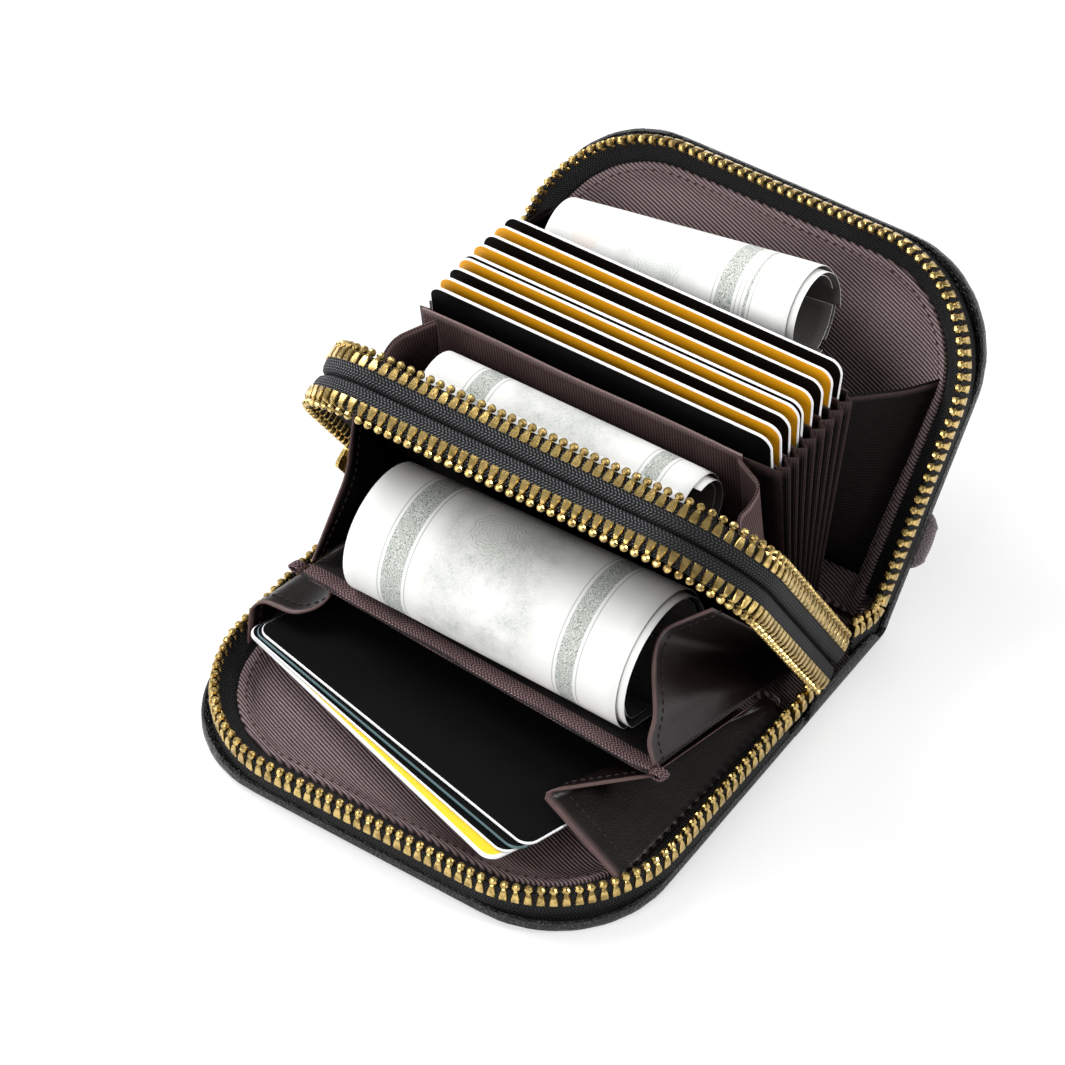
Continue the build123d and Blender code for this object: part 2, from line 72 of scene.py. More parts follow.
def spot(panel, x, reach, out):
    return panel["fold"] + Vector((x, 0, 0)) + panel["up"] * reach + panel["face"] * out


frontPanel, dividerPanel, rearPanel, pocketPanel = [panelAt(*line) for line in foldLines.values()]
covers = (("front", frontPanel), ("rear", rearPanel))
dividerSides = (("Front", -1), ("Rear", 1))


leaves = {"count": 10, "upright": 5, "firstY": 2.0, "pitch": 1.5, "foldZ": 4.0, "frontLean": 2.0, "rearLean": 2.4}


def leafPanel(number):
    steps = number - leaves["upright"]
    lean = leaves["rearLean"] if steps > 0 else leaves["frontLean"]
    return panelAt(leaves["firstY"] + leaves["pitch"] * (number - 1), leaves["foldZ"], steps * lean)


def spread(low, high, count):
    return [low + (high - low) * k / count for k in range(count + 1)]


# Mesh helpers: points are in millimetres until a piece is made
def placed(name, data):
    made = bpy.data.objects.new(name, data)
    bpy.context.scene.collection.objects.link(made)
    return made


def newPiece(name, points, faces, materials, cornerUv=None, wear=None, faceMaterial=None, sharp=40):
    mesh = bpy.data.meshes.new(name)
    mesh.from_pydata([Vector(p) * mm for p in points], [], faces)
    for material in materials:
        mesh.materials.append(material)
    if cornerUv:
        layer = mesh.uv_layers.new(name="cloth")
        for corner, uv in enumerate(cornerUv):
            layer.data[corner].uv = uv
    # a per-point share of painted highlight on rims, folds and top edges
    if wear:
        mesh.attributes.new("wear", "FLOAT", "POINT").data.foreach_set("value", wear)
    if faceMaterial:
        mesh.polygons.foreach_set("material_index", faceMaterial)
    work = bmesh.new()
    work.from_mesh(mesh)
    bmesh.ops.recalc_face_normals(work, faces=work.faces)
    work.to_mesh(mesh)
    work.free()
    mesh.shade_smooth()
    mesh.set_sharp_from_angle(angle=math.radians(sharp))
    return placed(name, mesh)


def settle(piece, body, slot, *nodes, squash=None):
    if nodes:
        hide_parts(*nodes)
    if squash:
        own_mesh(piece)
    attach(piece, body)
    return piece


def towards(joint, panel, out, keep, reach=20):
    # A joint, the panel's face, a level above the panel and a share to keep; settle gives a piece that gets these its
    # own mesh and nothing more
    return joint, tuple(panel["face"]), tuple(spot(panel, 0, reach, out) * mm), keep


def tube(rings, size):
    # The faces of a closed tube of rings, with its two ends
    faces = []
    for line in range(rings - 1):
        for k in range(size):
            n = (k + 1) % size
            faces.append((line * size + k, line * size + n, (line + 1) * size + n, (line + 1) * size + k))
    return faces + [tuple(range(size)), tuple(range((rings - 1) * size, rings * size))]


def sweep(name, places, outline, materials):
    # places are (point, across, upward, distance); outline is a closed loop of (across, upward)
    count = len(outline)
    around = [0.0]
    for a, b in zip(outline, outline[1:] + outline[:1]):
        around.append(around[-1] + math.dist(a, b))
    points = [point + across * a + upward * b for point, across, upward, _ in places for a, b in outline]
    uv = []
    for (*_, d0), (*_, d1) in zip(places, places[1:]):
        for k in range(count):
            uv += [(d0, around[k]), (d0, around[k + 1]), (d1, around[k + 1]), (d1, around[k])]
    uv += [(place[3], around[k]) for place in (places[0], places[-1]) for k in range(count)]
    return newPiece(name, points, tube(len(places), count), materials, uv)


def uLine(half, height, radius, rightStart, leftStart, step=1.0):
    # (x, reach, outX, outReach, distance) from the right side over the top to the left side
    radius = max(radius, 0.4)
    side, arc, top = height - radius, math.pi / 2 * radius, 2 * (half - radius)
    lengths = [side - rightStart, arc, top, arc, side - leftStart]
    total = sum(lengths)
    made = []
    for distance in spread(0, total, max(8, round(total / step))):
        rest, run = distance, 0
        while run < 4 and rest > lengths[run]:
            rest -= lengths[run]
            run += 1
        if run == 0:
            made.append((half, rightStart + rest, 1, 0, distance))
        elif run == 2:
            made.append((half - radius - rest, height, 0, 1, distance))
        elif run == 4:
            made.append((-half, side - rest, -1, 0, distance))
        else:
            angle = rest / radius + (0 if run == 1 else math.pi / 2)
            middle = (half - radius) * (1 if run == 1 else -1)
            c, s = math.cos(angle), math.sin(angle)
            made.append((middle + radius * c, side + radius * s, c, s, distance))
    return made


def uPlaces(panel, radius, rightStart, leftStart, step):
    return [
        (spot(panel, x, reach, 0), Vector((outX, 0, 0)) + panel["up"] * outReach, panel["face"], distance)
        for x, reach, outX, outReach, distance in uLine(row["half"], row["height"], radius, rightStart, leftStart, step)
    ]


def dish(name, panel, half, height, radius, start, rings, materials, ripple=0.0, uvWay=1):
    # A closed shell inside a U: rings are (inset, height above the panel), from the underside to the middle
    floorCount = 24
    loops = []
    for inset, level in rings:
        begin = start + 0.05 * inset
        line = uLine(half - inset, height - inset, radius - inset, begin, begin, 2.2 if inset < 20 else 1.6)
        loops.append(([(x, reach) for x, reach, *_ in line], inset, level))
    count = min(len(loop) for loop, *_ in loops)
    points, flat = [], []
    for loop, inset, level in loops:
        picked = [loop[round(k * (len(loop) - 1) / (count - 1))] for k in range(count)]
        (x0, r0), (x1, _) = picked[-1], picked[0]
        picked += [(x, r0) for x in spread(x0, x1, floorCount)[1:-1]]
        for x, reach in picked:
            swell = math.sin(x * 0.11 + reach * 0.07) + math.sin(reach * 0.19 - x * 0.05)
            points.append(spot(panel, x, reach, level + ripple * min(1.0, inset / 12) * swell))
            flat.append((x, reach * uvWay))
    faces = tube(len(loops), count + floorCount - 1)
    return newPiece(name, points, faces, materials, [flat[v] for face in faces for v in face])


def sheetFrom(name, grid, uvGrid, thickness, materials, edgeHighlightGrid=None, twoSided=None):
    # A thin closed sheet about a grid of points, with a rounded rim; twoSided picks each side's material
    rows, columns = len(grid), len(grid[0])
    size = rows * columns
    cells = [(i, j) for i in range(rows) for j in range(columns)]
    normals = []
    for i, j in cells:
        along = grid[min(i + 1, rows - 1)][j] - grid[max(i - 1, 0)][j]
        across = grid[i][min(j + 1, columns - 1)] - grid[i][max(j - 1, 0)]
        normal = across.cross(along)
        normals.append(normal.normalized() if normal.length > 1e-9 else Vector((0, 0, 1)))
    points = [grid[i][j] + n * side * thickness / 2 for side in (1, -1) for (i, j), n in zip(cells, normals)]
    flat = [uvGrid[i][j] for i, j in cells] * 2
    # painted highlight share from the grid, and the full painted highlight on the rim
    wear = [edgeHighlightGrid[i][j] if edgeHighlightGrid else 0.0 for i, j in cells] * 2
    corners = [i * columns + j for i in range(rows - 1) for j in range(columns - 1)]
    faces = [(a, a + 1, a + 1 + columns, a + columns) for a in corners]
    front = len(faces)
    faces += [tuple(v + size for v in reversed(face)) for face in faces[:front]]
    rim = [(0, j) for j in range(columns)] + [(i, columns - 1) for i in range(1, rows)]
    rim += [(rows - 1, j) for j in range(columns - 2, -1, -1)] + [(i, 0) for i in range(rows - 2, 0, -1)]
    first = len(points)
    for i, j in rim:
        away = grid[i][j] - grid[min(max(i, 1), rows - 2)][min(max(j, 1), columns - 2)]
        points.append(grid[i][j] + (away.normalized() * thickness * 0.45 if away.length > 1e-9 else away))
        flat.append(uvGrid[i][j])
        wear.append(1.0 if edgeHighlightGrid else 0.0)
    for k, (i, j) in enumerate(rim):
        follow = (k + 1) % len(rim)
        a, b = i * columns + j, rim[follow][0] * columns + rim[follow][1]
        faces += [(b, a, first + k, first + follow), (a + size, b + size, first + follow, first + k)]
    uv = [flat[v] for face in faces for v in face]
    picked = None
    if twoSided:
        picked = [twoSided[0]] * front + [twoSided[1]] * front + [0] * (len(faces) - 2 * front)
    return newPiece(name, points, faces, materials, uv, wear, picked, sharp=60)


def joined(name, objects):
    # One piece from several meshes
    materials = []
    for piece in objects:
        materials += [m for m in piece.data.materials if m not in materials]
    work = bmesh.new()
    for piece in objects:
        index = {k: materials.index(m) for k, m in enumerate(piece.data.materials)}
        for polygon in piece.data.polygons:
            polygon.material_index = index[polygon.material_index]
        work.from_mesh(piece.data)
    mesh = bpy.data.meshes.new(name)
    for material in materials:
        mesh.materials.append(material)
    work.to_mesh(mesh)
    work.free()
    for piece in objects:
        bpy.data.objects.remove(piece)
    return placed(name, mesh)


# Node helpers, for materials and for geometry; a helper works in the tree of the sockets that it is given
def node(tree, kind, inputs=None, **settings):
    made = tree.nodes.new(kind)
    for key, value in settings.items():
        setattr(made, key, value)
    for key, value in (inputs or {}).items():
        if isinstance(value, bpy.types.NodeSocket):
            tree.links.new(value, made.inputs[key])
        else:
            made.inputs[key].default_value = value
    return made


def treeOf(*values):
    return next(value.id_data for value in values if isinstance(value, bpy.types.NodeSocket))


def calc(operation, a, b=0.0, c=0.0):
    return node(treeOf(a, b, c), "ShaderNodeMath", {0: a, 1: b, 2: c}, operation=operation).outputs[0]


def times(first, *others):
    for other in others:
        first = calc("MULTIPLY", first, other)
    return first


def scaled(value, factor, more):
    return calc("MULTIPLY_ADD", value, factor, more)


def ramp(value, low, high, start=0.0, end=1.0):
    ends = {"Value": value, "From Min": low, "From Max": high, "To Min": start, "To Max": end}
    return node(treeOf(value), "ShaderNodeMapRange", ends).outputs[0]


def between(value, start, end, soft, softEnd):
    # 1 from start to end, with soft borders
    return times(ramp(value, start, start + soft), ramp(value, end, end - softEnd))


def wave(phase):
    # 0 to 1 over each whole number of phase
    return scaled(calc("SINE", times(phase, 2 * math.pi)), 0.5, 0.5)


def mixColour(share, low, high, blend="MIX"):
    tree = treeOf(share, low, high)
    mixed = node(tree, "ShaderNodeMix", data_type="RGBA", blend_type=blend)
    for key, value in (("Factor", share), ("A", low), ("B", high)):
        socket = [s for s in mixed.inputs if s.name == key and s.enabled][0]
        if isinstance(value, bpy.types.NodeSocket):
            tree.links.new(value, socket)
        else:
            socket.default_value = value if key == "Factor" else (*value, 1)
    return [s for s in mixed.outputs if s.enabled][0]


def objectPlace(tree):
    return node(tree, "ShaderNodeTexCoord").outputs["Object"]


def noise(tree, scale, detail=2.0, place=None):
    place = place or objectPlace(tree)
    return node(tree, "ShaderNodeTexNoise", {"Vector": place, "Scale": scale, "Detail": detail}).outputs[0]


def split(vector):
    return node(treeOf(vector), "ShaderNodeSeparateXYZ", {0: vector}).outputs


def clothUv(tree):
    return split(node(tree, "ShaderNodeUVMap", uv_map="cloth").outputs[0])[:2]


# The share of painted edge highlight that a mesh stores
def edgeHighlightShare(tree):
    return node(tree, "ShaderNodeAttribute", attribute_name="wear").outputs["Fac"]


def finish(name, roughness, colour=(0.5, 0.5, 0.5), **settings):
    material = bpy.data.materials.new(name)
    material.use_nodes = True
    tree = material.node_tree
    shader = tree.nodes["Principled BSDF"]
    shader.inputs["Base Color"].default_value = (*colour, 1)
    shader.inputs["Roughness"].default_value = roughness
    for key, value in settings.items():
        shader.inputs[key.replace("_", " ")].default_value = value
    return material, tree, shader


def dress(shader, colour, height, depth, roughness=None):
    # Links a finish's worked-out colour, relief (depth in millimetres) and roughness
    tree = shader.id_data
    tree.links.new(colour, shader.inputs["Base Color"])
    bump = node(tree, "ShaderNodeBump", {"Height": height, "Distance": depth * mm, "Strength": 1.0})
    tree.links.new(bump.outputs[0], shader.inputs["Normal"])
    if roughness is not None:
        tree.links.new(roughness, shader.inputs["Roughness"])


# Finishes
def makeLeather():
    look = {"colour": (0.004, 0.004, 0.0045), "pebbleHighlight": (0.016, 0.016, 0.017), "cell": 0.95, "depth": 0.5, "stir": 0.7}
    gloss = {"Specular_IOR_Level": 0.4, "Coat_Weight": 0.18, "Coat_Roughness": 0.1}
    material, tree, shader = finish("pebbledLeather", 0.3, look["colour"], **gloss)
    place = objectPlace(tree)
    stir = node(tree, "ShaderNodeTexNoise", {"Vector": place, "Scale": 500.0}).outputs["Color"]
    stirred = {0: stir, 1: [look["stir"] * mm] * 3, 2: place}
    bent = node(tree, "ShaderNodeVectorMath", stirred, operation="MULTIPLY_ADD").outputs[0]
    cells = {"Vector": bent, "Scale": 1 / (look["cell"] * mm)}
    gaps = node(tree, "ShaderNodeTexVoronoi", cells, feature="DISTANCE_TO_EDGE").outputs[0]
    pebbles = calc("SMOOTH_MIN", times(gaps, 3.2), 1.0, 0.4)
    height = calc("ADD", pebbles, times(noise(tree, 2600.0, 3.0), 0.12))
    # the pebble tops take a lighter colour: a painted highlight on the pebbles
    colour = mixColour(times(pebbles, noise(tree, 90.0)), look["colour"], look["pebbleHighlight"])
    dress(shader, colour, height, look["depth"], scaled(pebbles, -0.3, 0.55))
    return material


def makeTwill(name, low, high, pitch=0.76, angle=-20.0, depth=0.12):
    material, tree, shader = finish(name, 0.62, low, Specular_IOR_Level=0.25)
    u, v = clothUv(tree)
    c, s = math.cos(math.radians(angle)), math.sin(math.radians(angle))
    across = calc("SUBTRACT", times(v, c), times(u, s))
    along = calc("ADD", times(u, c), times(v, s))
    rib = wave(calc("DIVIDE", across, pitch))
    thread = wave(calc("ADD", calc("DIVIDE", along, pitch * 0.5), calc("DIVIDE", across, pitch * 2)))
    height = calc("ADD", rib, times(rib, thread, 0.45))
    shade = times(calc("POWER", rib, 1.3), scaled(thread, 0.5, 0.55), scaled(noise(tree, 60.0), 0.5, 0.72))
    dress(shader, mixColour(shade, low, high), height, depth)
    return material


def makeHerringbone(name, low, high, column, pitch, depth, calmFrom=None, fleck=1.4):
    material, tree, shader = finish(name, 0.7, low, Specular_IOR_Level=0.2)
    u, v = clothUv(tree)
    rib = wave(calc("DIVIDE", scaled(calc("PINGPONG", v, column), 0.9, u), pitch))
    knots = wave(calc("DIVIDE", v, pitch * 0.7))
    height = calc("ADD", times(rib, scaled(knots, 0.5, 0.6)), times(noise(tree, 1800.0), 0.35))
    # the knots' bright flecks are partly the weave's pattern and partly painted glints on the threads
    shade = times(calc("POWER", rib, fleck), scaled(calc("POWER", knots, fleck), 0.95, 0.08))
    if calmFrom is not None:  # the weave shows less where the tape is pressed flat towards its sewn end
        calm = ramp(split(objectPlace(tree))[0], calmFrom * mm, (calmFrom + 14) * mm, 1.0, 0.3)
        shade, height = times(shade, calm), times(height, calm)
    shade = times(shade, scaled(noise(tree, 240.0), 0.8, 0.55))
    dress(shader, mixColour(shade, low, high), height, depth)
    return material


def makeGrosgrain(name, low, high, edgeLit):
    material, tree, shader = finish(name, 0.6, low, Specular_IOR_Level=0.1)
    u, v = clothUv(tree)
    warp, weft = wave(calc("DIVIDE", u, 0.68)), wave(calc("DIVIDE", v, 0.66))
    height = calc("ADD", times(weft, 0.8), times(warp, 0.6))
    shade = times(scaled(calc("POWER", weft, 1.4), 0.8, 0.15), scaled(calc("POWER", warp, 1.4), 0.8, 0.2))
    cloth = mixColour(times(shade, scaled(noise(tree, 80.0), 0.6, 0.6)), low, high)
    # edges mix towards the lighter colour: painted highlight
    dress(shader, mixColour(times(edgeHighlightShare(tree), 0.55), cloth, edgeLit), height, 0.09)
    return material


def makeSmooth(name, colour, edgeLit, roughness):
    material, tree, shader = finish(name, roughness, colour, Specular_IOR_Level=0.25)
    grain = node(tree, "ShaderNodeTexVoronoi", {"Vector": objectPlace(tree), "Scale": 2600.0}).outputs[0]
    height = calc("ADD", times(grain, 0.5), times(noise(tree, 160.0, 3.0), 1.6))
    # rolled edges and folds mix towards the lighter colour: painted highlight
    share = times(calc("POWER", edgeHighlightShare(tree), 2.0), scaled(noise(tree, 300.0), 0.7, 0.45))
    dress(shader, mixColour(share, colour, edgeLit), height, 0.05, scaled(noise(tree, 120.0), 0.2, roughness - 0.1))
    return material


def makeBrass(name, colour, dark, roughness):
    material, tree, shader = finish(name, roughness, colour, Metallic=1.0)
    patches = noise(tree, 700.0, 4.0)
    # darker in random patches
    darkPatched = mixColour(times(ramp(patches, 0.42, 0.72), 0.8), colour, dark)
    dress(shader, darkPatched, noise(tree, 1500.0, 3.0), 0.03, scaled(patches, 0.25, roughness - 0.1))
    return material


def makeCardFace(name, colour, roughness, gloss=0.4):
    material, tree, shader = finish(name, roughness, colour, Specular_IOR_Level=gloss)
    smears = noise(tree, 55.0, 5.0)
    smeared = mixColour(times(smears, 0.25), colour, [min(1.0, c * 1.15 + 0.003) for c in colour])
    dress(shader, smeared, noise(tree, 1400.0, 2.0), 0.006, scaled(smears, 0.22, roughness - 0.1))
    return material


def makeBandedCard(width, height):
    # A white card with a yellow band inside its edge, wider towards one end
    white, yellow = (0.8, 0.8, 0.76), (0.86, 0.6, 0.02)
    material, tree, shader = finish("bandedCard", 0.3, white, Coat_Weight=0.3)
    u, v = clothUv(tree)
    sideGap = calc("SUBTRACT", width / 2, calc("ABSOLUTE", u))
    endGap = calc("SUBTRACT", height / 2, calc("ABSOLUTE", v))
    gap = calc("SMOOTH_MIN", sideGap, endGap, 5.0)
    past = calc("SUBTRACT", gap, ramp(u, -40.0, 40.0, 1.9, 4.6))
    face = mixColour(times(ramp(gap, 0.5, 0.7), ramp(past, -0.1, 0.1, 1.0, 0.0)), white, yellow)
    specks = ramp(noise(tree, 1300.0, 1.0), 0.68, 0.72, 1.0, 0.35)
    near = ramp(calc("ABSOLUTE", past), 0.3, 1.6)
    speckled = mixColour(calc("MAXIMUM", specks, near), (0.25, 0.22, 0.12), (1, 1, 1))
    dress(shader, mixColour(1.0, face, speckled, "MULTIPLY"), noise(tree, 900.0), 0.006)
    return material


def makeNotePaper(name, bands, patch, rosettes=()):
    # Off-white paper with a fine woven-line band near each end, a mottled middle and ringed rosettes
    white, ink = (0.83, 0.83, 0.81), (0.16, 0.2, 0.16)
    material, tree, shader = finish(name, 0.8, white, Specular_IOR_Level=0.15)
    u, v = clothUv(tree)
    flat = node(tree, "ShaderNodeCombineXYZ", {0: u, 1: v}).outputs[0]
    curl = noise(tree, 0.5, 2.0, flat)
    lines = wave(calc("ADD", times(u, 1.7), times(curl, 7.0)))
    crossed = wave(calc("SUBTRACT", times(v, 1.5), times(curl, 9.0)))
    web = times(lines, crossed)
    mottle = {"Vector": flat, "Scale": 0.09, "Detail": 5.0, "Roughness": 0.65}
    clouds = ramp(node(tree, "ShaderNodeTexNoise", mottle).outputs[0], 0.36, 0.72)
    colour = mixColour(times(between(u, *patch, 3.0, 6.0), clouds, scaled(web, 0.5, 0.35)), white, ink)
    for along, around, radius, tint in rosettes:
        gap = node(tree, "ShaderNodeVectorMath", {0: flat, 1: (along, around, 0)}, operation="SUBTRACT").outputs[0]
        apart = node(tree, "ShaderNodeVectorMath", {0: gap}, operation="LENGTH").outputs["Value"]
        x, y, _ = split(gap)
        petals = calc("SINE", times(calc("ARCTAN2", y, x), 11.0))
        swirl = calc("ADD", calc("DIVIDE", apart, 0.9), times(petals, 0.33))
        ringed = times(calc("POWER", wave(swirl), 2.0), scaled(web, 0.4, 0.25))
        colour = mixColour(times(ringed, ramp(apart, radius, radius + 0.3, 1.0, 0.0)), colour, tint)
    for start, end in bands:
        colour = mixColour(times(between(u, start, end, 0.25, 0.25), scaled(web, 0.85, 0.35)), colour, ink)
        for line in (start - 0.7, end + 0.7):
            thin = ramp(calc("ABSOLUTE", calc("SUBTRACT", u, line)), 0.08, 0.2, 0.5, 0.0)
            colour = mixColour(thin, colour, ink)
    dress(shader, colour, noise(tree, 220.0, 4.0), 0.08)
    return material


leather = makeLeather()
twill = makeTwill("twillLining", (0.03, 0.019, 0.02), (0.42, 0.3, 0.31))
# a much darker copy of the twill lining: painted shade for the divider linings and the pocket panel
shadedTwill = makeTwill("dividerLining", (0.004, 0.003, 0.003), (0.02, 0.014, 0.015))
# the zip tape's bright flecks: its weave, with painted glints on the threads
zipWeave = makeHerringbone(
    "zipTapeWeave", (0.003, 0.003, 0.0035), (0.26, 0.27, 0.29), 1.5, 0.85, 0.24, calmFrom=26.0, fleck=2.6
)
coverWeave = makeHerringbone("coverTapeWeave", (0.002, 0.002, 0.0023), (0.07, 0.07, 0.075), 1.3, 0.75, 0.16, fleck=2.4)
bindingWeave = makeHerringbone("bindingWeave", (0.04, 0.02, 0.021), (0.38, 0.25, 0.255), 1.4, 0.85, 0.16)
grosgrain = makeGrosgrain("accordionGrosgrain", (0.014, 0.007, 0.007), (0.27, 0.17, 0.165), (0.4, 0.29, 0.28))
# a much darker copy of the accordion grosgrain: painted shade for the inner leaves, the pleats and the rear gussets
shadedGrosgrain = makeGrosgrain("innerGrosgrainShaded", (0.002, 0.001, 0.001), (0.011, 0.006, 0.006), (0.1, 0.065, 0.062))
smoothBrown = makeSmooth("smoothGusset", (0.006, 0.003, 0.003), (0.24, 0.155, 0.15), 0.32)
# a lighter copy of the gusset's faux leather for its rolled edges: painted highlight
highlitRolledEdge = makeSmooth("highlitRolledEdge", (0.1, 0.06, 0.057), (0.3, 0.21, 0.2), 0.45)
brass = makeBrass("brassTeeth", (0.64, 0.46, 0.17), (0.13, 0.08, 0.018), 0.24)
pullBrass = makeBrass("brassPulls", (0.64, 0.46, 0.17), (0.54, 0.38, 0.13), 0.22)
gussetThread = makeSmooth("gussetThread", (0.03, 0.018, 0.018), (0.06, 0.04, 0.04), 0.6)
thread = makeSmooth("brownThread", (0.05, 0.026, 0.024), (0.1, 0.06, 0.06), 0.6)
cardBlack = makeCardFace("cardBlack", (0.003, 0.003, 0.0033), 0.5, 0.05)
cardOrange = makeCardFace("cardOrange", (1.0, 0.42, 0.008), 0.4)
cardEdge = makeCardFace("cardEdge", (0.8, 0.8, 0.82), 0.4)
cardTealEdge = makeCardFace("cardTealEdge", (0.09, 0.15, 0.16), 0.3)
tabCloth = makeHerringbone("tabCloth", (0.16, 0.13, 0.14), (0.42, 0.36, 0.38), 1.0, 0.8, 0.1)
boardGrey = makeSmooth("boardGrey", (0.12, 0.1, 0.09), (0.2, 0.18, 0.17), 0.8)
print("finishes made")


# Trees: named inputs, and an end that realizes and dresses what they make
def newTree(name, inputs):
    tree = bpy.data.node_groups.new(name, "GeometryNodeTree")
    for label, kind, value in inputs:
        socket = tree.interface.new_socket(label, in_out="INPUT", socket_type="NodeSocket" + kind)
        if value is not None:
            socket.default_value = value
    tree.interface.new_socket("Geometry", in_out="OUTPUT", socket_type="NodeSocketGeometry")
    return tree, node(tree, "NodeGroupInput").outputs


def endTree(tree, geometry, material):
    real = node(tree, "GeometryNodeRealizeInstances", {0: geometry})
    dressed = node(tree, "GeometryNodeSetMaterial", {"Geometry": real.outputs[0], "Material": material})
    node(tree, "NodeGroupOutput", {0: dressed.outputs[0]})


def grown(name, mesh, tree, values):
    # The plain mesh that a tree makes from a guide
    guide = placed(name + "Guide", mesh)
    modifier = guide.modifiers.new("tree", "NODES")
    modifier.node_group = tree
    sockets = {item.name: item.identifier for item in tree.interface.items_tree if item.in_out == "INPUT"}
    for key, value in values.items():
        modifier[sockets[key]] = value
    graph = bpy.context.evaluated_depsgraph_get()
    graph.update()
    made = bpy.data.meshes.new_from_object(guide.evaluated_get(graph))
    made.name = name
    bpy.data.objects.remove(guide)
    return made


# Repeated pieces along a line: one tree, used for teeth and stitches
def makeRowTree():
    tree, given = newTree("piecesAlongLine", (
        ("Geometry", "Geometry", None), ("Piece", "Object", None), ("Pitch", "Float", 0.0026),
        ("Wobble", "Float", 0.0), ("Seed", "Int", 3), ("Finish", "Material", None),
    ))
    line = node(tree, "GeometryNodeMeshToCurve", {"Mesh": given["Geometry"]}).outputs[0]
    even = node(tree, "GeometryNodeResampleCurve", {"Curve": line, "Length": given["Pitch"]}, mode="LENGTH")
    lift = node(tree, "GeometryNodeInputNamedAttribute", {"Name": "lift"}, data_type="FLOAT_VECTOR").outputs[0]
    standing = node(tree, "FunctionNodeAlignRotationToVector", {"Vector": lift}, axis="Z").outputs[0]
    ahead = {"Rotation": standing, "Vector": node(tree, "GeometryNodeInputTangent").outputs[0]}
    facing = node(tree, "FunctionNodeAlignRotationToVector", ahead, axis="X", pivot_axis="Z").outputs[0]
    limits = {}
    for key, angle in ((0, times(given["Wobble"], -1.0)), (1, given["Wobble"])):
        whole = {0: (1.0, 1.0, 1.0), "Scale": angle}
        limits[key] = node(tree, "ShaderNodeVectorMath", whole, operation="SCALE").outputs[0]
    chance = node(tree, "FunctionNodeRandomValue", {**limits, "Seed": given["Seed"]}, data_type="FLOAT_VECTOR")
    wobble = node(tree, "FunctionNodeEulerToRotation", {0: chance.outputs[0]}).outputs[0]
    turned = node(tree, "FunctionNodeRotateRotation", {0: facing, 1: wobble}, rotation_space="LOCAL").outputs[0]
    shape = node(tree, "GeometryNodeObjectInfo", {"Object": given["Piece"]}).outputs["Geometry"]
    there = {"Points": even.outputs[0], "Instance": shape, "Rotation": turned}
    endTree(tree, node(tree, "GeometryNodeInstanceOnPoints", there).outputs[0], given["Finish"])
    return tree


rowTree = makeRowTree()


def alongLine(name, line, template, pitch, material, wobble=0.0, seed=3):
    # line is a list of (point, lift) in millimetres
    mesh = bpy.data.meshes.new(name + "Guide")
    mesh.from_pydata([point * mm for point, _ in line], [(k, k + 1) for k in range(len(line) - 1)], [])
    lifts = mesh.attributes.new("lift", "FLOAT_VECTOR", "POINT")
    lifts.data.foreach_set("vector", [c for _, lift in line for c in lift])
    values = {"Piece": template, "Pitch": pitch * mm, "Wobble": math.radians(wobble), "Seed": seed, "Finish": material}
    return placed(name, grown(name, mesh, rowTree, values))


def ringStack(name, rings, sharp=35):
    # A closed small form from rings of (halfX, halfY, z, squareness), eight corners each; a template that isn't shown
    points = []
    for halfX, halfY, z, square in rings:
        cutX, cutY = halfX * square, halfY * square
        ring = ((halfX, cutY), (cutX, halfY), (-cutX, halfY), (-halfX, cutY))
        points += [Vector((x, y, z)) for x, y in ring + tuple((-x, -y) for x, y in ring)]
    piece = newPiece(name, points, tube(len(rings), 8), [brass], sharp=sharp)
    piece.hide_render = True
    return piece


# Teeth: legs that straddle the tape, a neck, and a rounded head
tooth = {
    "pitch": 2.5, "wobble": 1.5, "legBottom": 3.35, "fromEnd": 1.3, "lineStep": 0.8,
    "legs": [(0.78, 1.05, 0.0, 0.85), (0.92, 1.22, 0.14, 0.85), (0.92, 1.26, 0.9, 0.85), (0.62, 1.12, 2.3, 0.8)],
    "neck": [(0.44, 0.85, 2.8, 0.7), (0.42, 0.68, 2.95, 0.6)],
    "head": [(0.76, 0.84, 3.2, 0.5), (0.88, 0.9, 3.65, 0.45), (0.7, 0.72, 4.15, 0.45), (0.32, 0.34, 4.46, 0.45)],
}
toothForm = ringStack("toothForm", tooth["legs"] + tooth["neck"] + tooth["head"], sharp=20)


def makeTeeth(name, panel, radius, way, body, nodeName):
    starts = (row["rightStart"] + tooth["fromEnd"], row["leftStart"] + tooth["fromEnd"])
    line = [
        (spot(panel, x, reach, tooth["legBottom"] * way), panel["face"] * way)
        for x, reach, *_ in uLine(row["half"], row["height"], radius, *starts, tooth["lineStep"])
    ]
    settle(alongLine(name, line, toothForm, tooth["pitch"], brass, tooth["wobble"]), body, "brass", nodeName)


for side, panel in covers:
    makeTeeth(f"{side}CoverTeeth", panel, row["coverRadius"], 1, f"{side}_cover", f"{side}_cover_teeth")
for side, way in dividerSides:
    makeTeeth(f"divider{side}Teeth", dividerPanel, row["dividerRadius"], way, "divider", f"divider_{side.lower()}_teeth")
print("teeth made")

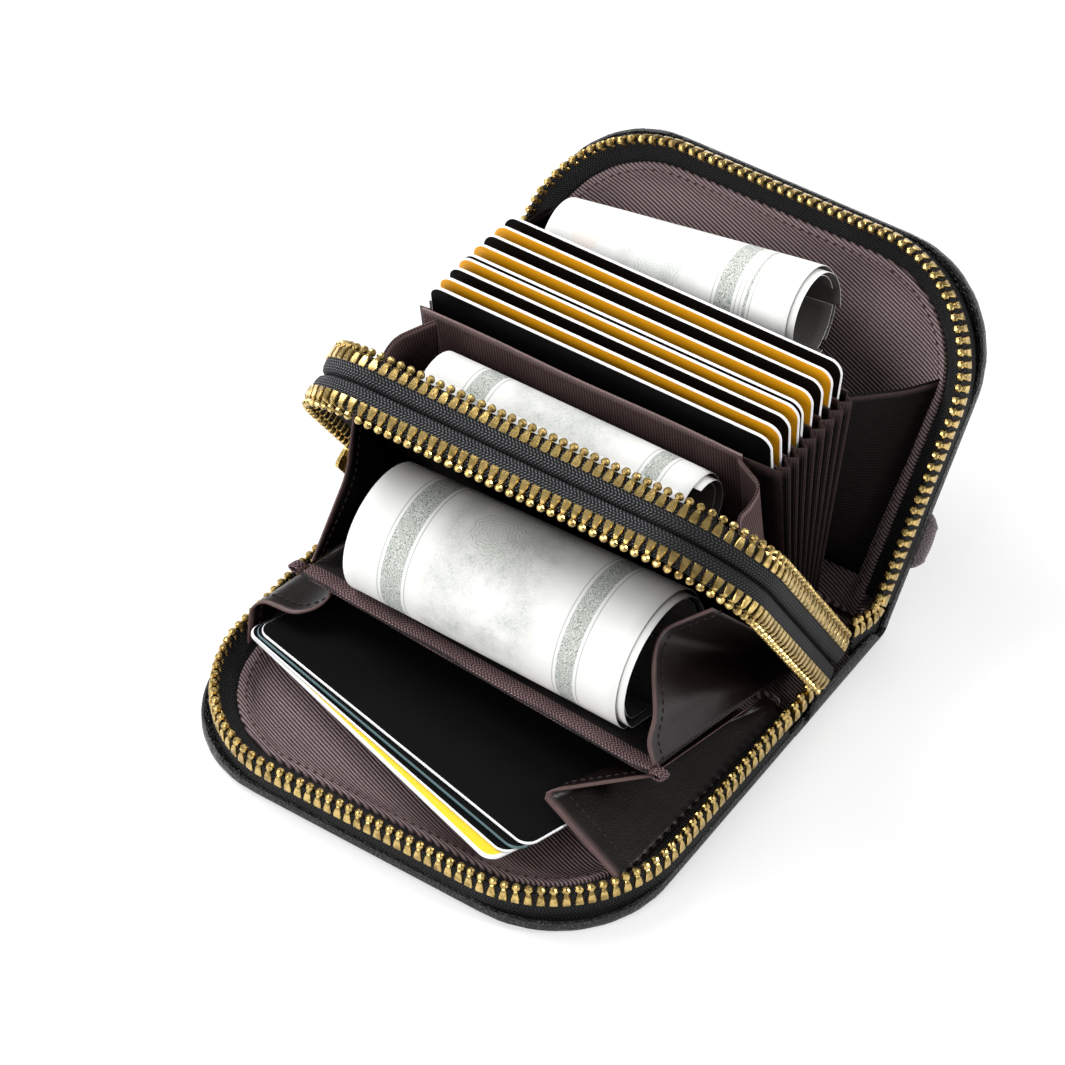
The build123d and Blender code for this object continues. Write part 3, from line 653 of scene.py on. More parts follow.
# Tapes: those of the covers rise from under the hem of the lining, curve up and carry the teeth
tape = {
    "start": 6.0, "coverStep": 1.5, "stripStart": 5.2, "stripStep": 1.2,
    "cover": [
        (-6.4, 1.2), (-5.2, 2.3), (-3.6, 3.6), (-2.1, 4.8), (-0.95, 5.6), (-0.45, 6.2), (0.42, 6.2), (0.62, 5.3),
        (0.8, 3.2), (0.95, 0.8), (0.9, -1.2), (-0.4, -1.2), (-1.0, 2.4), (-3.4, 2.6), (-5.6, 0.8),
    ],
    "stripFace": [  # half of the crown between two rows, from its edge to the seam
        (-0.3, 6.15), (0.15, 5.5), (0.55, 4.4), (0.85, 3.0), (0.74, 1.7), (0.42, 0.8), (-0.15, 0.36), (-1.1, 0.2),
    ],
    "stripBack": [(-0.75, 6.0), (-1.1, 3.0), (-1.4, 0.0), (-1.1, -3.0), (-0.75, -6.0)],
}
for side, panel in covers:
    places = uPlaces(panel, row["coverRadius"], tape["start"], tape["start"], tape["coverStep"])
    settle(sweep(f"{side}CoverTape", places, tape["cover"], [coverWeave]), f"{side}_cover", "zip_tape", f"{side}_cover_tape")
stripOutline = [(a, -b) for a, b in tape["stripFace"]] + tape["stripFace"][::-1] + tape["stripBack"]
places = uPlaces(dividerPanel, row["dividerRadius"], tape["stripStart"], tape["start"], tape["stripStep"])
strip = sweep("dividerStrip", places, stripOutline, [zipWeave])
settle(strip, "divider", "zip_tape", "divider_front_tape", "divider_rear_tape")
print("tapes made")

# Linings, dished up to their tapes, with a raised hem
lining = {
    "coverStart": 0.4, "dividerStart": 1.2, "ripple": 0.1,
    "cover": [
        (4.6, -0.5), (4.6, 2.9), (4.75, 3.35), (5.0, 3.6), (5.5, 3.5), (6.6, 2.85), (7.7, 2.2), (7.95, 1.9), (9.0, 1.25),
        (10.8, 0.6), (13.4, 0.22), (17.0, 0.12), (22.0, 0.1), (27.0, 0.1), (32.0, 0.1), (36.0, 0.1),
    ],
    "divider": [
        (1.0, 0.2), (1.0, 3.4), (1.7, 4.3), (2.6, 4.2), (4.2, 3.3), (6.5, 2.0), (9.0, 1.2), (12.0, 1.02),
        (17.0, 1.0), (24.0, 1.0), (30.0, 1.0), (36.0, 1.0),
    ],
}
for (side, panel), uvWay in zip(covers, (-1, 1)):
    shape = (row["half"], row["height"], row["coverRadius"], lining["coverStart"], lining["cover"])
    piece = dish(f"{side}CoverLining", panel, *shape, [twill], lining["ripple"], uvWay)
    settle(piece, f"{side}_cover", "twill_lining", f"{side}_cover_lining")
for side, way in dividerSides:
    rings = [(inset, level * way) for inset, level in lining["divider"]]
    shape = (row["half"], row["height"], row["dividerRadius"], lining["dividerStart"], rings)
    # the divider linings take the twill with painted shade
    piece = dish(f"divider{side}Lining", dividerPanel, *shape, [shadedTwill])
    settle(piece, "divider", "twill_lining", f"divider_{side.lower()}_lining")

# Leather: a pebbled panel with a turned rim
skin = {
    "half": 56.2, "height": 80.6, "radius": 27.0, "start": 0.3,
    "rings": [
        (2.4, -1.3), (1.3, -0.2), (0.6, 0.35), (0.1, 0.1), (-0.05, -0.8), (0.0, -1.9), (0.45, -2.38), (1.2, -2.5),
        (4.0, -2.5), (10.0, -2.5), (20.0, -2.5), (30.0, -2.5), (36.0, -2.5),
    ],
}
for side, panel in covers:
    piece = dish(f"{side}CoverLeather", panel, *skin.values(), [leather])
    settle(piece, f"{side}_cover", "pebbled_leather", f"{side}_cover_leather")
print("covers made")

# Spine: leather with turned ends, its lining, and the soft folds to the covers
spine = {
    "half": 16.0, "endX": 55.6, "endRise": 3.6, "endHalf": 14.6, "liningLevel": 2.3,
    "rim": [(56.2, 0.5), (55.8, 0.1), (55.0, 0.0)], "topRim": [(55.0, 1.22), (55.8, 1.2), (56.2, 0.9)],
}


def makeSpine():
    across, upward = Vector((1, 0, 0)), Vector((0, 0, 1))
    outline = [(-x, z) for x, z in spine["rim"]] + [(x, 0.0) for x in range(-50, 51, 5)] + spine["rim"][::-1]
    outline += spine["topRim"][::-1] + [(x, 1.2) for x in range(50, -51, -5)] + [(-x, z) for x, z in spine["topRim"]]
    places = [(Vector((0, y, 0)), across, upward, y) for y in spread(-spine["half"], spine["half"], 24)]
    settle(sweep("spineLeather", places, outline, [leather]), "spine", "pebbled_leather", "spine_leather")
    rise = spine["endRise"]
    roll = [(-0.9, 0.0), (-0.75, rise * 0.62), (-0.3, rise), (0.25, rise * 0.97), (0.62, rise * 0.7), (0.75, 1.0), (0.6, 0.0)]
    for way, name in ((1, "spineRightEnd"), (-1, "spineLeftEnd")):
        places = []
        for k, share in enumerate(spread(-1, 1, 32)):
            tall = max(rise * (1 - abs(share) ** 4) ** 0.5, 0.3) / rise
            places.append((Vector((spine["endX"] * way, spine["endHalf"] * share, 0.9)), across * way, upward * tall, k))
        settle(sweep(name, places, roll, [leather]), "spine", "pebbled_leather")
    level = spine["liningLevel"]
    rows = [
        [Vector((x, y, level + 0.06 * math.sin(x * 0.35 + y * 0.2))) for x in spread(-54.4, 54.4, 54)]
        for y in spread(-15.9, 15.9, 20)
    ]
    flat = [[(p.x, p.y) for p in line] for line in rows]
    settle(sheetFrom("spineLining", rows, flat, 0.4, [twill]), "spine", "twill_lining", "spine_lining")


makeSpine()


def makeFold(name, hingeY, way, turn):
    # Leather that bends round the fold line and runs on along the cover
    step, radius, turn = 0.35, 2.5, math.radians(turn)
    profile = []
    for k in range(-6, 7):
        if k < 0 or not turn:
            profile.append((hingeY + way * k * step, 0.0, 0.0))
        else:
            angle = turn * k / 6
            profile.append((hingeY + way * radius * math.sin(angle), radius - radius * math.cos(angle), angle))
    for k in range(1, 5):
        y, z, _ = profile[-1]
        profile.append((y + way * step * math.cos(turn), z + step * math.sin(turn), turn))
    rows = [
        [Vector((x, y, z)) + Vector((0, -way * math.sin(a), math.cos(a))) * 0.25 for y, z, a in profile]
        for x in spread(-55.9, 55.9, 40)
    ]
    flat = [[(p.x, k * step) for k, p in enumerate(line)] for line in rows]
    piece = sheetFrom(name, rows, flat, 0.5, [leather])
    first, last = Vector(rows[0][2]), Vector(rows[0][-3])
    first.x = last.x = 0
    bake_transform(piece)


makeFold("frontFold", -16.0, -1, 0.0)
makeFold("rearFold", 16.0, 1, 52.0)
print("spine made")

# Cards: rounded, with a softened white rim and coloured faces
card = {
    "width": 85.6, "height": 53.98, "thickness": 0.76, "radius": 3.18, "rim": 0.2, "faceInset": 0.6,
    "middle": -5.5, "seat": 6.5, "fromLeaf": 0.75,  # where those in the accordion stand
}


def roundedOutline(width, height, radius, steps=7):
    made = []
    for cx, cy, start in ((1, 1, 0), (-1, 1, 90), (-1, -1, 180), (1, -1, 270)):
        for angle in spread(math.radians(start), math.radians(start + 90), steps):
            x, y = cx * (width / 2 - radius), cy * (height / 2 - radius)
            made.append((x + radius * math.cos(angle), y + radius * math.sin(angle)))
    return made


def makeCard(name, number, middle, along, up, away, face, edge, slot):
    # middle of the card, and the ways along its long side, up its short side and out of its front face
    soft = 0.5 - card["rim"] / card["thickness"]
    rings = [(card["faceInset"], 0.5), (card["rim"], 0.5), (0.0, soft)]
    rings += [(inset, -level) for inset, level in reversed(rings)]
    points, flat = [], []
    for inset, level in rings:
        for x, y in roundedOutline(card["width"] - 2 * inset, card["height"] - 2 * inset, card["radius"] - inset):
            points.append(middle + along * x + up * y + away * (level * card["thickness"]))
            flat.append((x, y))
    size = len(points) // len(rings)
    faces = tube(len(rings), size)
    picked = [0] * size + [2] * size * (len(rings) - 3) + [1] * size + [0, 1]
    uv = [flat[v] for each in faces for v in each]
    piece = newPiece(f"{name}Card{number}", points, faces, [face, face, edge], uv, faceMaterial=picked, sharp=30)
    settle(piece, f"{name}_card_{number}", slot, f"{name}_card_{number}")


for gap in range(1, 10):
    before = gap < 5
    panel = leafPanel(gap + 1 if before else gap)
    out = card["fromLeaf"] * (-1 if before else 1)
    middle = spot(panel, card["middle"], card["seat"] + card["height"] / 2, out)
    face, slot = (cardBlack, "card_black") if gap % 2 else (cardOrange, "card_orange")
    makeCard("rear", gap, middle, Vector((1, 0, 0)), panel["up"], -panel["face"], face, cardEdge, slot)

bandedCard = makeBandedCard(card["width"], card["height"])
frontCards = {
    "fan": (18.0, 15.6, 14.6, 13.6), "cornerX": (-52.5, -51.7, -50.4, -49.3), "cornerReach": (51.95, 52.5, 52.4, 52.2),
    "tilt": 7.6, "lift": 0.5, "pitch": 0.9,
}
for index, fan in enumerate(frontCards["fan"]):
    panel = panelAt(-16.0, 2.5 + frontCards["lift"] + index * frontCards["pitch"], -90 + frontCards["tilt"])
    turn = math.radians(fan)
    ahead = Vector((math.cos(turn), 0, 0)) + panel["up"] * math.sin(turn)
    inward = Vector((math.sin(turn), 0, 0)) - panel["up"] * math.cos(turn)
    corner = spot(panel, frontCards["cornerX"][index], frontCards["cornerReach"][index], 0)
    middle = corner + ahead * card["width"] / 2 + inward * card["height"] / 2
    face, slot = (cardBlack, "card_black") if index else (bandedCard, "card_white")
    makeCard("front", index + 1, middle, ahead, -inward, panel["face"], face, cardTealEdge if index == 2 else cardEdge, slot)
print("cards made")


# Accordion: leaves from one tree, and the pleats between their ends
def makeLeafTree():
    tree, given = newTree("accordionLeaf", (
        ("Width", "Float", 0.0866), ("Height", "Float", 0.0518), ("Thickness", "Float", 0.0005),
        ("Wave", "Float", 0.0002), ("Phase", "Float", 0.0), ("Finish", "Material", None),
    ))

    def shifted(geometry, z):
        offset = node(tree, "ShaderNodeCombineXYZ", {2: z}).outputs[0]
        return node(tree, "GeometryNodeSetPosition", {"Geometry": geometry, "Offset": offset}).outputs[0]

    def stored(geometry, name, value, kind, domain):
        named = {"Geometry": geometry, "Name": name, "Value": value}
        return node(tree, "GeometryNodeStoreNamedAttribute", named, data_type=kind, domain=domain).outputs[0]

    size = {"Size X": given["Width"], "Size Y": given["Height"], "Vertices X": 58, "Vertices Y": 30}
    cloth = node(tree, "GeometryNodeMeshGrid", size).outputs["Mesh"]
    place = node(tree, "GeometryNodeInputPosition").outputs[0]
    x, y, _ = split(place)
    up = calc("ADD", calc("DIVIDE", y, given["Height"]), 0.5)
    ripple = calc("SINE", scaled(x, 130.0, given["Phase"]))
    waved = shifted(cloth, times(ripple, given["Wave"], calc("POWER", up, 3.0)))
    flat = node(tree, "ShaderNodeVectorMath", {0: place, 1: (1000.0, 1000.0, 0.0)}, operation="MULTIPLY").outputs[0]
    named = stored(waved, "cloth", flat, "FLOAT2", "CORNER")
    # the top edge of each leaf gets a painted highlight
    edgeLit = stored(named, "wear", ramp(up, 0.985, 1.0), "FLOAT", "POINT")
    down = shifted(edgeLit, times(given["Thickness"], 0.5, -1.0))
    thicker = {"Mesh": down, "Offset Scale": given["Thickness"], "Individual": False}
    both = node(tree, "GeometryNodeJoinGeometry")
    tree.links.new(node(tree, "GeometryNodeExtrudeMesh", thicker).outputs[0], both.inputs[0])
    tree.links.new(node(tree, "GeometryNodeFlipFaces", {"Mesh": down}).outputs[0], both.inputs[0])
    closed = node(tree, "GeometryNodeMergeByDistance", {"Geometry": both.outputs[0], "Distance": 0.00001})
    endTree(tree, closed.outputs[0], given["Finish"])
    return tree


accordion = {
    "width": 86.6, "height": 52.0, "start": 0.2, "thickness": 0.5, "middle": -5.5, "wave": 0.16,
    "pleatReach": 2.4, "pleatFoot": 1.0, "pleatTop": 51.4, "pleatRows": 14, "pleatThickness": 0.22,
    "firstMore": 3.0, "firstLess": 6.2,  # the first leaf is taller, and narrower at its right
}
leafTree = makeLeafTree()
for number in range(1, leaves["count"] + 1):
    first = number == 1
    height = accordion["height"] + (accordion["firstMore"] if first else 0)
    less = accordion["firstLess"] if first else 0
    values = {
        "Width": (accordion["width"] - less) * mm, "Height": (height - accordion["start"]) * mm,
        "Thickness": accordion["thickness"] * mm, "Wave": accordion["wave"] * mm, "Phase": number * 1.7,
        # the first leaf takes the lit grosgrain, the others the copy with painted shade
        "Finish": grosgrain if first else shadedGrosgrain,
    }
    mesh = grown(f"accordionLeaf{number}", bpy.data.meshes.new("leafGuide"), leafTree, values)
    panel = leafPanel(number)
    turn = Matrix.Identity(4)
    for column, axis in enumerate((Vector((1, 0, 0)), panel["up"], -panel["face"])):
        for line in range(3):
            turn[line][column] = axis[line]
    turn.translation = spot(panel, accordion["middle"] - less / 2, (height + accordion["start"]) / 2, 0) * mm
    mesh.transform(turn)
    mesh.shade_smooth()
    mesh.set_sharp_from_angle(angle=math.radians(50))
    body = "spine" if number == leaves["upright"] else f"leaf_{number:02d}"
    settle(placed(f"accordionLeaf{number}", mesh), body, "grosgrain", f"accordion_leaf_{number:02d}")


def makePleat(number, way):
    # One end of one gap: a V that opens towards the cards
    first, second = leafPanel(number), leafPanel(number + 1)
    more, tall = accordion["firstMore"] if number == 1 else 0, accordion["pleatRows"]
    endX = accordion["middle"] + way * (accordion["width"] / 2 - 0.1)
    startX = endX - (accordion["firstLess"] if number == 1 and way > 0 else 0)
    steps = ((0.0, 0.3), (0.35, 0.0), (0.7, 0.0), (0.9, 0.5))  # share of the way to the tip, and painted edge highlight
    grid, flat, edgeLit = [], [], []
    for k, reach in enumerate(spread(accordion["pleatFoot"], accordion["pleatTop"], tall)):
        a, b = spot(first, startX, reach + more * k / tall, 0.1), spot(second, endX, reach, -0.1)
        tip = (a + b) / 2
        tip.x = endX + way * (accordion["pleatReach"] - 0.1)
        grid.append([a.lerp(tip, share) for share, _ in steps] + [tip] + [b.lerp(tip, share) for share, _ in steps[::-1]])
        flat.append([(j * 0.8, reach) for j in range(9)])
        wear = [w for _, w in steps]
        edgeLit.append([1.0] * 9 if k == tall else wear + [1.0] + wear[::-1])
    name = f"pleat{number}{'Right' if way > 0 else 'Left'}"
    # the pleats take the grosgrain with painted shade
    return sheetFrom(name, grid, flat, accordion["pleatThickness"], [shadedGrosgrain], edgeLit)


for number in range(1, 10):
    leaf = number if number < 5 else number + 1
    body = f"leaf_{leaf:02d}"
    folding = towards(f"{body}_fold", leafPanel(leaf), 0, 0.5, reach=0)
    for way in (-1, 1):
        nodeName = "front_pleats" if number < 5 else "rear_pleats"
        settle(makePleat(number, way), body, "grosgrain", nodeName, squash=folding)
print("accordion made")


# Gussets: folded sheets with a turned edge and a row of stitches
def roundedLine(points, radius, steps=6):
    # A folded line with each fold rounded
    made = [points[0]]
    for before, corner, after in zip(points, points[1:], points[2:]):
        back, on = before - corner, after - corner
        cut = min(radius, back.length * 0.45, on.length * 0.45)
        made += curveThrough(corner + back.normalized() * cut, corner, corner + on.normalized() * cut, steps)
    return made + [points[-1]]


def curveThrough(a, b, c, count):
    return [a * (1 - t) ** 2 + b * 2 * t * (1 - t) + c * t * t for t in spread(0, 1, count)]


def evenLine(points, count):
    lengths = [0.0]
    for a, b in zip(points, points[1:]):
        lengths.append(lengths[-1] + (b - a).length)
    made = []
    for distance in spread(0, lengths[-1], count):
        i = max(j for j in range(len(lengths)) if lengths[j] <= distance + 1e-9)
        i = min(i, len(points) - 2)
        gap = lengths[i + 1] - lengths[i]
        made.append(points[i].lerp(points[i + 1], (distance - lengths[i]) / gap if gap else 0))
    return made, lengths[-1]


pocket = {"half": 46.5, "height": 54.0, "rightReach": 8.5, "thickness": 0.7, "binding": 1.75, "bindingDepth": 4.6}
gusset = {"thickness": 0.45, "inner": 54.5, "fold": 3.2, "edge": 0.3, "stitchPitch": 1.7}


def pocketTop(x):
    # The bound edge runs further out towards the right
    share = min(1.0, max(0.0, (x + pocket["half"]) / (2 * pocket["half"])))
    return pocket["height"] + pocket["rightReach"] * share


def makeGusset(name, foot, edge, material, swell, way):
    # foot and edge are folded lines; the sheet runs from one to the other
    count, tall = 36, 22
    low, _ = evenLine(roundedLine(foot, gusset["fold"]), count)
    high, width = evenLine(roundedLine(edge, gusset["fold"]), count)
    depth = (high[count // 2] - low[count // 2]).length
    grid, flat, edgeLit = [], [], []
    for k in range(tall + 1):
        t = (k / tall) ** 0.85
        bulge = [Vector((-way * swell * math.sin(math.pi * s) * math.sin(math.pi * t), 0, 0)) for s in spread(0, 1, count)]
        grid.append([a.lerp(b, t) + out for a, b, out in zip(low, high, bulge)])
        flat.append([(u, depth * t) for u in spread(0, width, count)])
        # the sheet's top edge gets a painted highlight
        edgeLit.append([max(0.0, (t - 0.985) / 0.015)] * (count + 1))
    return sheetFrom(name, grid, flat, gusset["thickness"], [material], edgeLit), grid


def roundRod(name, points, radius, material, sides=8):
    # A rolled edge or a thread along a line of points
    places = []
    distance = 0.0
    for k, point in enumerate(points):
        along = (points[min(k + 1, len(points) - 1)] - points[max(k - 1, 0)]).normalized()
        side = along.cross(Vector((0.2, 0.3, 0.93))).normalized()
        if k:
            distance += (point - points[k - 1]).length
        places.append((point, side, side.cross(along), distance))
    turns = spread(0, 2 * math.pi, sides)[:-1]
    return sweep(name, places, [(radius * math.cos(a), radius * math.sin(a)) for a in turns], [material])


stitchForm = ringStack(
    "stitchForm", [(0.3, 0.12, -0.1, 0.42), (0.52, 0.17, 0.06, 0.42), (0.46, 0.15, 0.16, 0.42), (0.25, 0.08, 0.22, 0.42)]
)


def faceNormals(grid, at, side):
    made = []
    for j in range(len(grid[0])):
        along = grid[at + 1][j] - grid[at - 1][j]
        across = grid[at][min(j + 1, len(grid[0]) - 1)] - grid[at][max(j - 1, 0)]
        made.append(across.cross(along).normalized() * side)
    return made


gussetLooks = {  # cloth, its edge, and whether stitches show
    # smooth gussets: their rolled edge takes the lighter copy, a painted highlight
    "smooth": (smoothBrown, highlitRolledEdge, True),
    "ribbed": (grosgrain, grosgrain, False),
    # inner: the grosgrain with painted shade
    "inner": (shadedGrosgrain, shadedGrosgrain, False),
}


def sewGusset(name, foot, edge, look, body, nodeName, swell, folding):
    cloth, edgeCloth, stitched = gussetLooks[look]
    piece, grid = makeGusset(name + "Sheet", foot, edge, cloth, swell, -1 if name.startswith("left") else 1)
    parts = [piece, roundRod(name + "Edge", grid[-1], gusset["edge"], edgeCloth)]
    for side in (1, -1) if stitched else ():
        normals = faceNormals(grid, -3, side)
        line = [(p + n * gusset["thickness"] / 2, n) for p, n in zip(grid[-3], normals)]
        parts.append(alongLine(name + f"Stitch{side}", line, stitchForm, gusset["stitchPitch"], gussetThread, 2.0))
    settle(joined(name, parts), body, "gusset", nodeName, squash=folding)


def foldedLine(first, second, way, shares, reaches, insets):
    # From one face to the other: shares run from -1 to 1, insets are from the inner side of the tapes
    (one, oneOut), (two, twoOut) = first, second
    low, high = spot(one, 0, reaches[0], oneOut), spot(two, 0, reaches[1], twoOut)
    middle, half = (low + high) / 2, (high - low) / 2
    return [middle + Vector((way * (gusset["inner"] - inset), 0, 0)) + half * share for inset, share in zip(insets, shares)]


def bent(*points):
    return [Vector(point) for point in points]


pocketRear, pocketFront = (pocketPanel, 0.9), (pocketPanel, -0.9)
dividerFront, dividerRear = (dividerPanel, -1.5), (dividerPanel, 1.5)
firstLeafFront, lastLeafRear = (leafPanel(1), -0.8), (leafPanel(10), 0.8)
frontLined, rearLined = (frontPanel, 0.55), (rearPanel, 0.55)
tack = spot(pocketPanel, pocket["half"] + 0.8, pocketTop(pocket["half"]) - 1.2, 0)

foot = foldedLine(frontLined, pocketFront, -1, (-1.0, -0.1, 0.72, 1.0), (4.0, 16.0), (1.3, 1.7, 10.0, 7.3))
edge = bent(
    (-51.6, -68.0, 5.4), (-54.0, -63.4, 12.6), (-51.6, -62.2, 15.2), (-43.1, -62.2, 16.0),
    (-39.6, -58.6, 16.8), (-38.7, -54.6, 18.0), (-41.4, -53.2, 19.0), (-46.2, -53.8, 19.2),
)
pocketSeat = ("smooth", "front_pocket", "front_gussets")
sewGusset("leftCardGusset", foot, edge, *pocketSeat, 0.2, towards("front_cover_fold", pocketPanel, -0.4, 0.6))
foot = bent((53.4, -20.0, 6.2), (50.6, -19.8, 7.6), (48.0, -19.1, 7.6))
edge = bent((50.4, -78.6, 7.0), (30.6, -76.6, 18.6), (31.4, -75.4, 19.6), tack - Vector((0.4, 0.4, 0.9)))
sewGusset("rightCardGusset", foot, edge, *pocketSeat, 0.5, towards("front_cover_fold", pocketPanel, -0.4, 0.5))

cash = (pocketRear, dividerFront)
foot, edge = [foldedLine(*cash, -1, (-1.0, 0.2, 1.0), reaches, (7.3, 8.3, 5.0)) for reaches in ((16.0, 9.0), (49.0, 54.0))]
sewGusset("leftCashGusset", foot, edge, *pocketSeat, 1.6, towards("front_cover_fold", pocketPanel, 0.4, 0.05))
foot = foldedLine(*cash, 1, (-1.0, 0.55, 1.0), (16.0, 9.0), (7.3, 14.5, 6.0))
edge = bent(
    tack + Vector((-0.6, 1.0, 1.0)), (44.6, -60.2, 28.5), (44.0, -56.5, 32.0),
    (38.0, -48.5, 37.5), (35.6, -42.5, 40.5), (44.5, -36.4, 47.0),
)
sewGusset("rightCashGusset", foot, edge, *pocketSeat, 0.8, towards("front_cover_fold", pocketPanel, 0.4, 0.05))

leafSeat = ("ribbed", "leaf_01", "middle_gussets", 0.3, towards("front_cover_fold", leafPanel(1), -0.3, 0.04))
middle = (dividerRear, firstLeafFront, -1, (-1.0, 0.3, 1.0))
foot, edge = foldedLine(*middle, (9.0, 9.0), (3.5, 2.6, 6.6)), foldedLine(*middle, (50.0, 54.0), (3.5, 2.6, 9.6))
sewGusset("leftMiddleGusset", foot, edge, *leafSeat)
low, high = spot(leafPanel(1), 0, 9.0, -0.8), spot(leafPanel(1), 0, 54.6, -0.8)
foot = [spot(dividerPanel, 49.0, 9.0, 1.5)] + [low + out for out in bent((41.0, -2.6, 0), (40.0, -1.2, 0), (32.6, 0, 0))]
edge = [spot(dividerPanel, 45.0, 50.0, 1.5)]
edge += [high + out for out in bent((38.7, -11.9, -3.2), (39.3, -8.6, -2.6), (39.4, -4.3, 0), (31.2, 0, 0))]
sewGusset("rightMiddleGusset", foot, edge, *leafSeat)

# the rear gussets take the grosgrain with painted shade
lastSeat = ("inner", "leaf_10", "rear_gussets", 0.5, towards("rear_cover_fold", leafPanel(10), 0.3, 0.03))
for name, way, insets in (("leftRearGusset", -1, (6.6, 2.6, 3.5)), ("rightRearGusset", 1, (17.4, 9.5, 5.0))):
    rear = (lastLeafRear, rearLined, way, (-1.0, 0.0, 1.0))
    foot, edge = [foldedLine(*rear, reaches, insets) for reaches in ((9.0, 9.0), (50.0, 56.0))]
    sewGusset(name, foot, edge, *lastSeat)
print("gussets made")

# Front pocket: the panel, its bound top edge, and the sewn pinches at its ends
across = spread(-pocket["half"], pocket["half"], 40)
rows = [
    [spot(pocketPanel, x, 0.5 + (pocketTop(x) - 0.6) * i / 24, 0.12 * math.sin(j * 0.5) * i / 24) for j, x in enumerate(across)]
    for i in range(25)
]
flat = [[(j * 2.32, i * 2.2) for j in range(41)] for i in range(25)]
# the pocket panel takes the twill with painted shade
settle(sheetFrom("pocketPanel", rows, flat, pocket["thickness"], [shadedTwill]), "front_pocket", "twill_lining", "pocket_panel")


def makeBinding():
    half, deep = pocket["binding"] / 2, pocket["bindingDepth"]
    face, up = pocketPanel["face"], pocketPanel["up"]
    places = []
    for share in spread(-1, 1, 64):
        x = (pocket["half"] + 0.6) * share
        pinch = max(0.0, abs(share) - 0.93) / 0.07
        sway = 0.35 * math.sin(share * 7) + 0.2 * math.sin(share * 17)
        point = spot(pocketPanel, x, pocketTop(x) - deep + 0.5 * pinch + 0.12 * sway, 0.1 * sway)
        places.append((point, face * (1 - 0.25 * pinch), up * (1 - 0.2 * pinch), x))
    side = [
        (half * 0.8, 0.0), (half, 0.4), (half * 1.02, deep * 0.5), (half * 0.9, deep - 0.5), (half * 0.5, deep - 0.08),
    ]
    outline = [(-a, b) for a, b in side] + [(0, deep + 0.06)] + side[::-1]
    settle(sweep("pocketBinding", places, outline, [bindingWeave]), "front_pocket", "binding", "pocket_binding")


def makeTacks():
    face, up = pocketPanel["face"], pocketPanel["up"]
    band = [(-0.3, -1.5), (0.25, -1.45), (0.32, 0.0), (0.25, 1.45), (-0.3, 1.5)]
    parts = []
    for way in (-1, 1):
        top = pocketTop(way * pocket["half"])
        knot = []
        for k, a in enumerate(spread(0, math.pi * 2, 22)):  # the binding's end, looped back on itself
            c, s = math.cos(a), math.sin(a)
            point = spot(pocketPanel, way * (pocket["half"] + 1.9 + 1.5 * c), top - 1.7 + 0.5 * s, 0.95 * s)
            knot.append((point, Vector((way * c, 0, 0)) + face * s, up, k * 0.4))
        parts.append(sweep("knot", knot, band, [bindingWeave]))
        for k in range(5):  # wraps of thread round the pinch
            x = way * (pocket["half"] + 0.15 + 0.32 * k) + 0.1 * math.sin(k * 2.1)
            turns = spread(0, math.pi * 2, 16)
            ring = [spot(pocketPanel, x, top - 1.9 + 1.75 * math.sin(a), (0.85 - 0.02 * k) * math.cos(a)) for a in turns]
            parts.append(roundRod("wrap", ring, 0.17, thread, 6))
    settle(joined("pocketTacks", parts), "front_pocket", "thread", "pocket_tacks")


makeBinding()
makeTacks()
print("pocket made")


# Rolled notes: sheets wound into one another
def wedgeMiddle(first, firstOut, firstWay, second, secondOut, secondWay, radius):
    # The middle of a roll that rests between two faces, each given by its panel, its offset and the way it looks
    n1, n2 = first["face"] * firstWay, second["face"] * secondWay
    s1 = n1.dot(spot(first, 0, 0, firstOut)) + radius + 0.4
    s2 = n2.dot(spot(second, 0, 0, secondOut)) + radius + 0.4
    area = n1.y * n2.z - n1.z * n2.y
    return Vector((0, (s1 * n2.z - s2 * n1.z) / area, (s2 * n1.y - s1 * n2.y) / area))


wound = (
    {"sweep": 400, "from": 0, "inset": 0.0, "lap": 1.3, "left": 0.0, "right": 0.0, "flare": 0.14},
    {"sweep": 300, "from": 40, "inset": 1.0, "lap": 1.2, "left": 0.6, "right": 1.7, "flare": 0.35},
    {"sweep": 250, "from": 70, "inset": 2.3, "lap": 1.4, "left": 0.9, "right": 0.6, "flare": 0.35},
)
shadedPaper = makeSmooth("shadedPaper", (0.13, 0.12, 0.115), (0.2, 0.19, 0.18), 0.7)


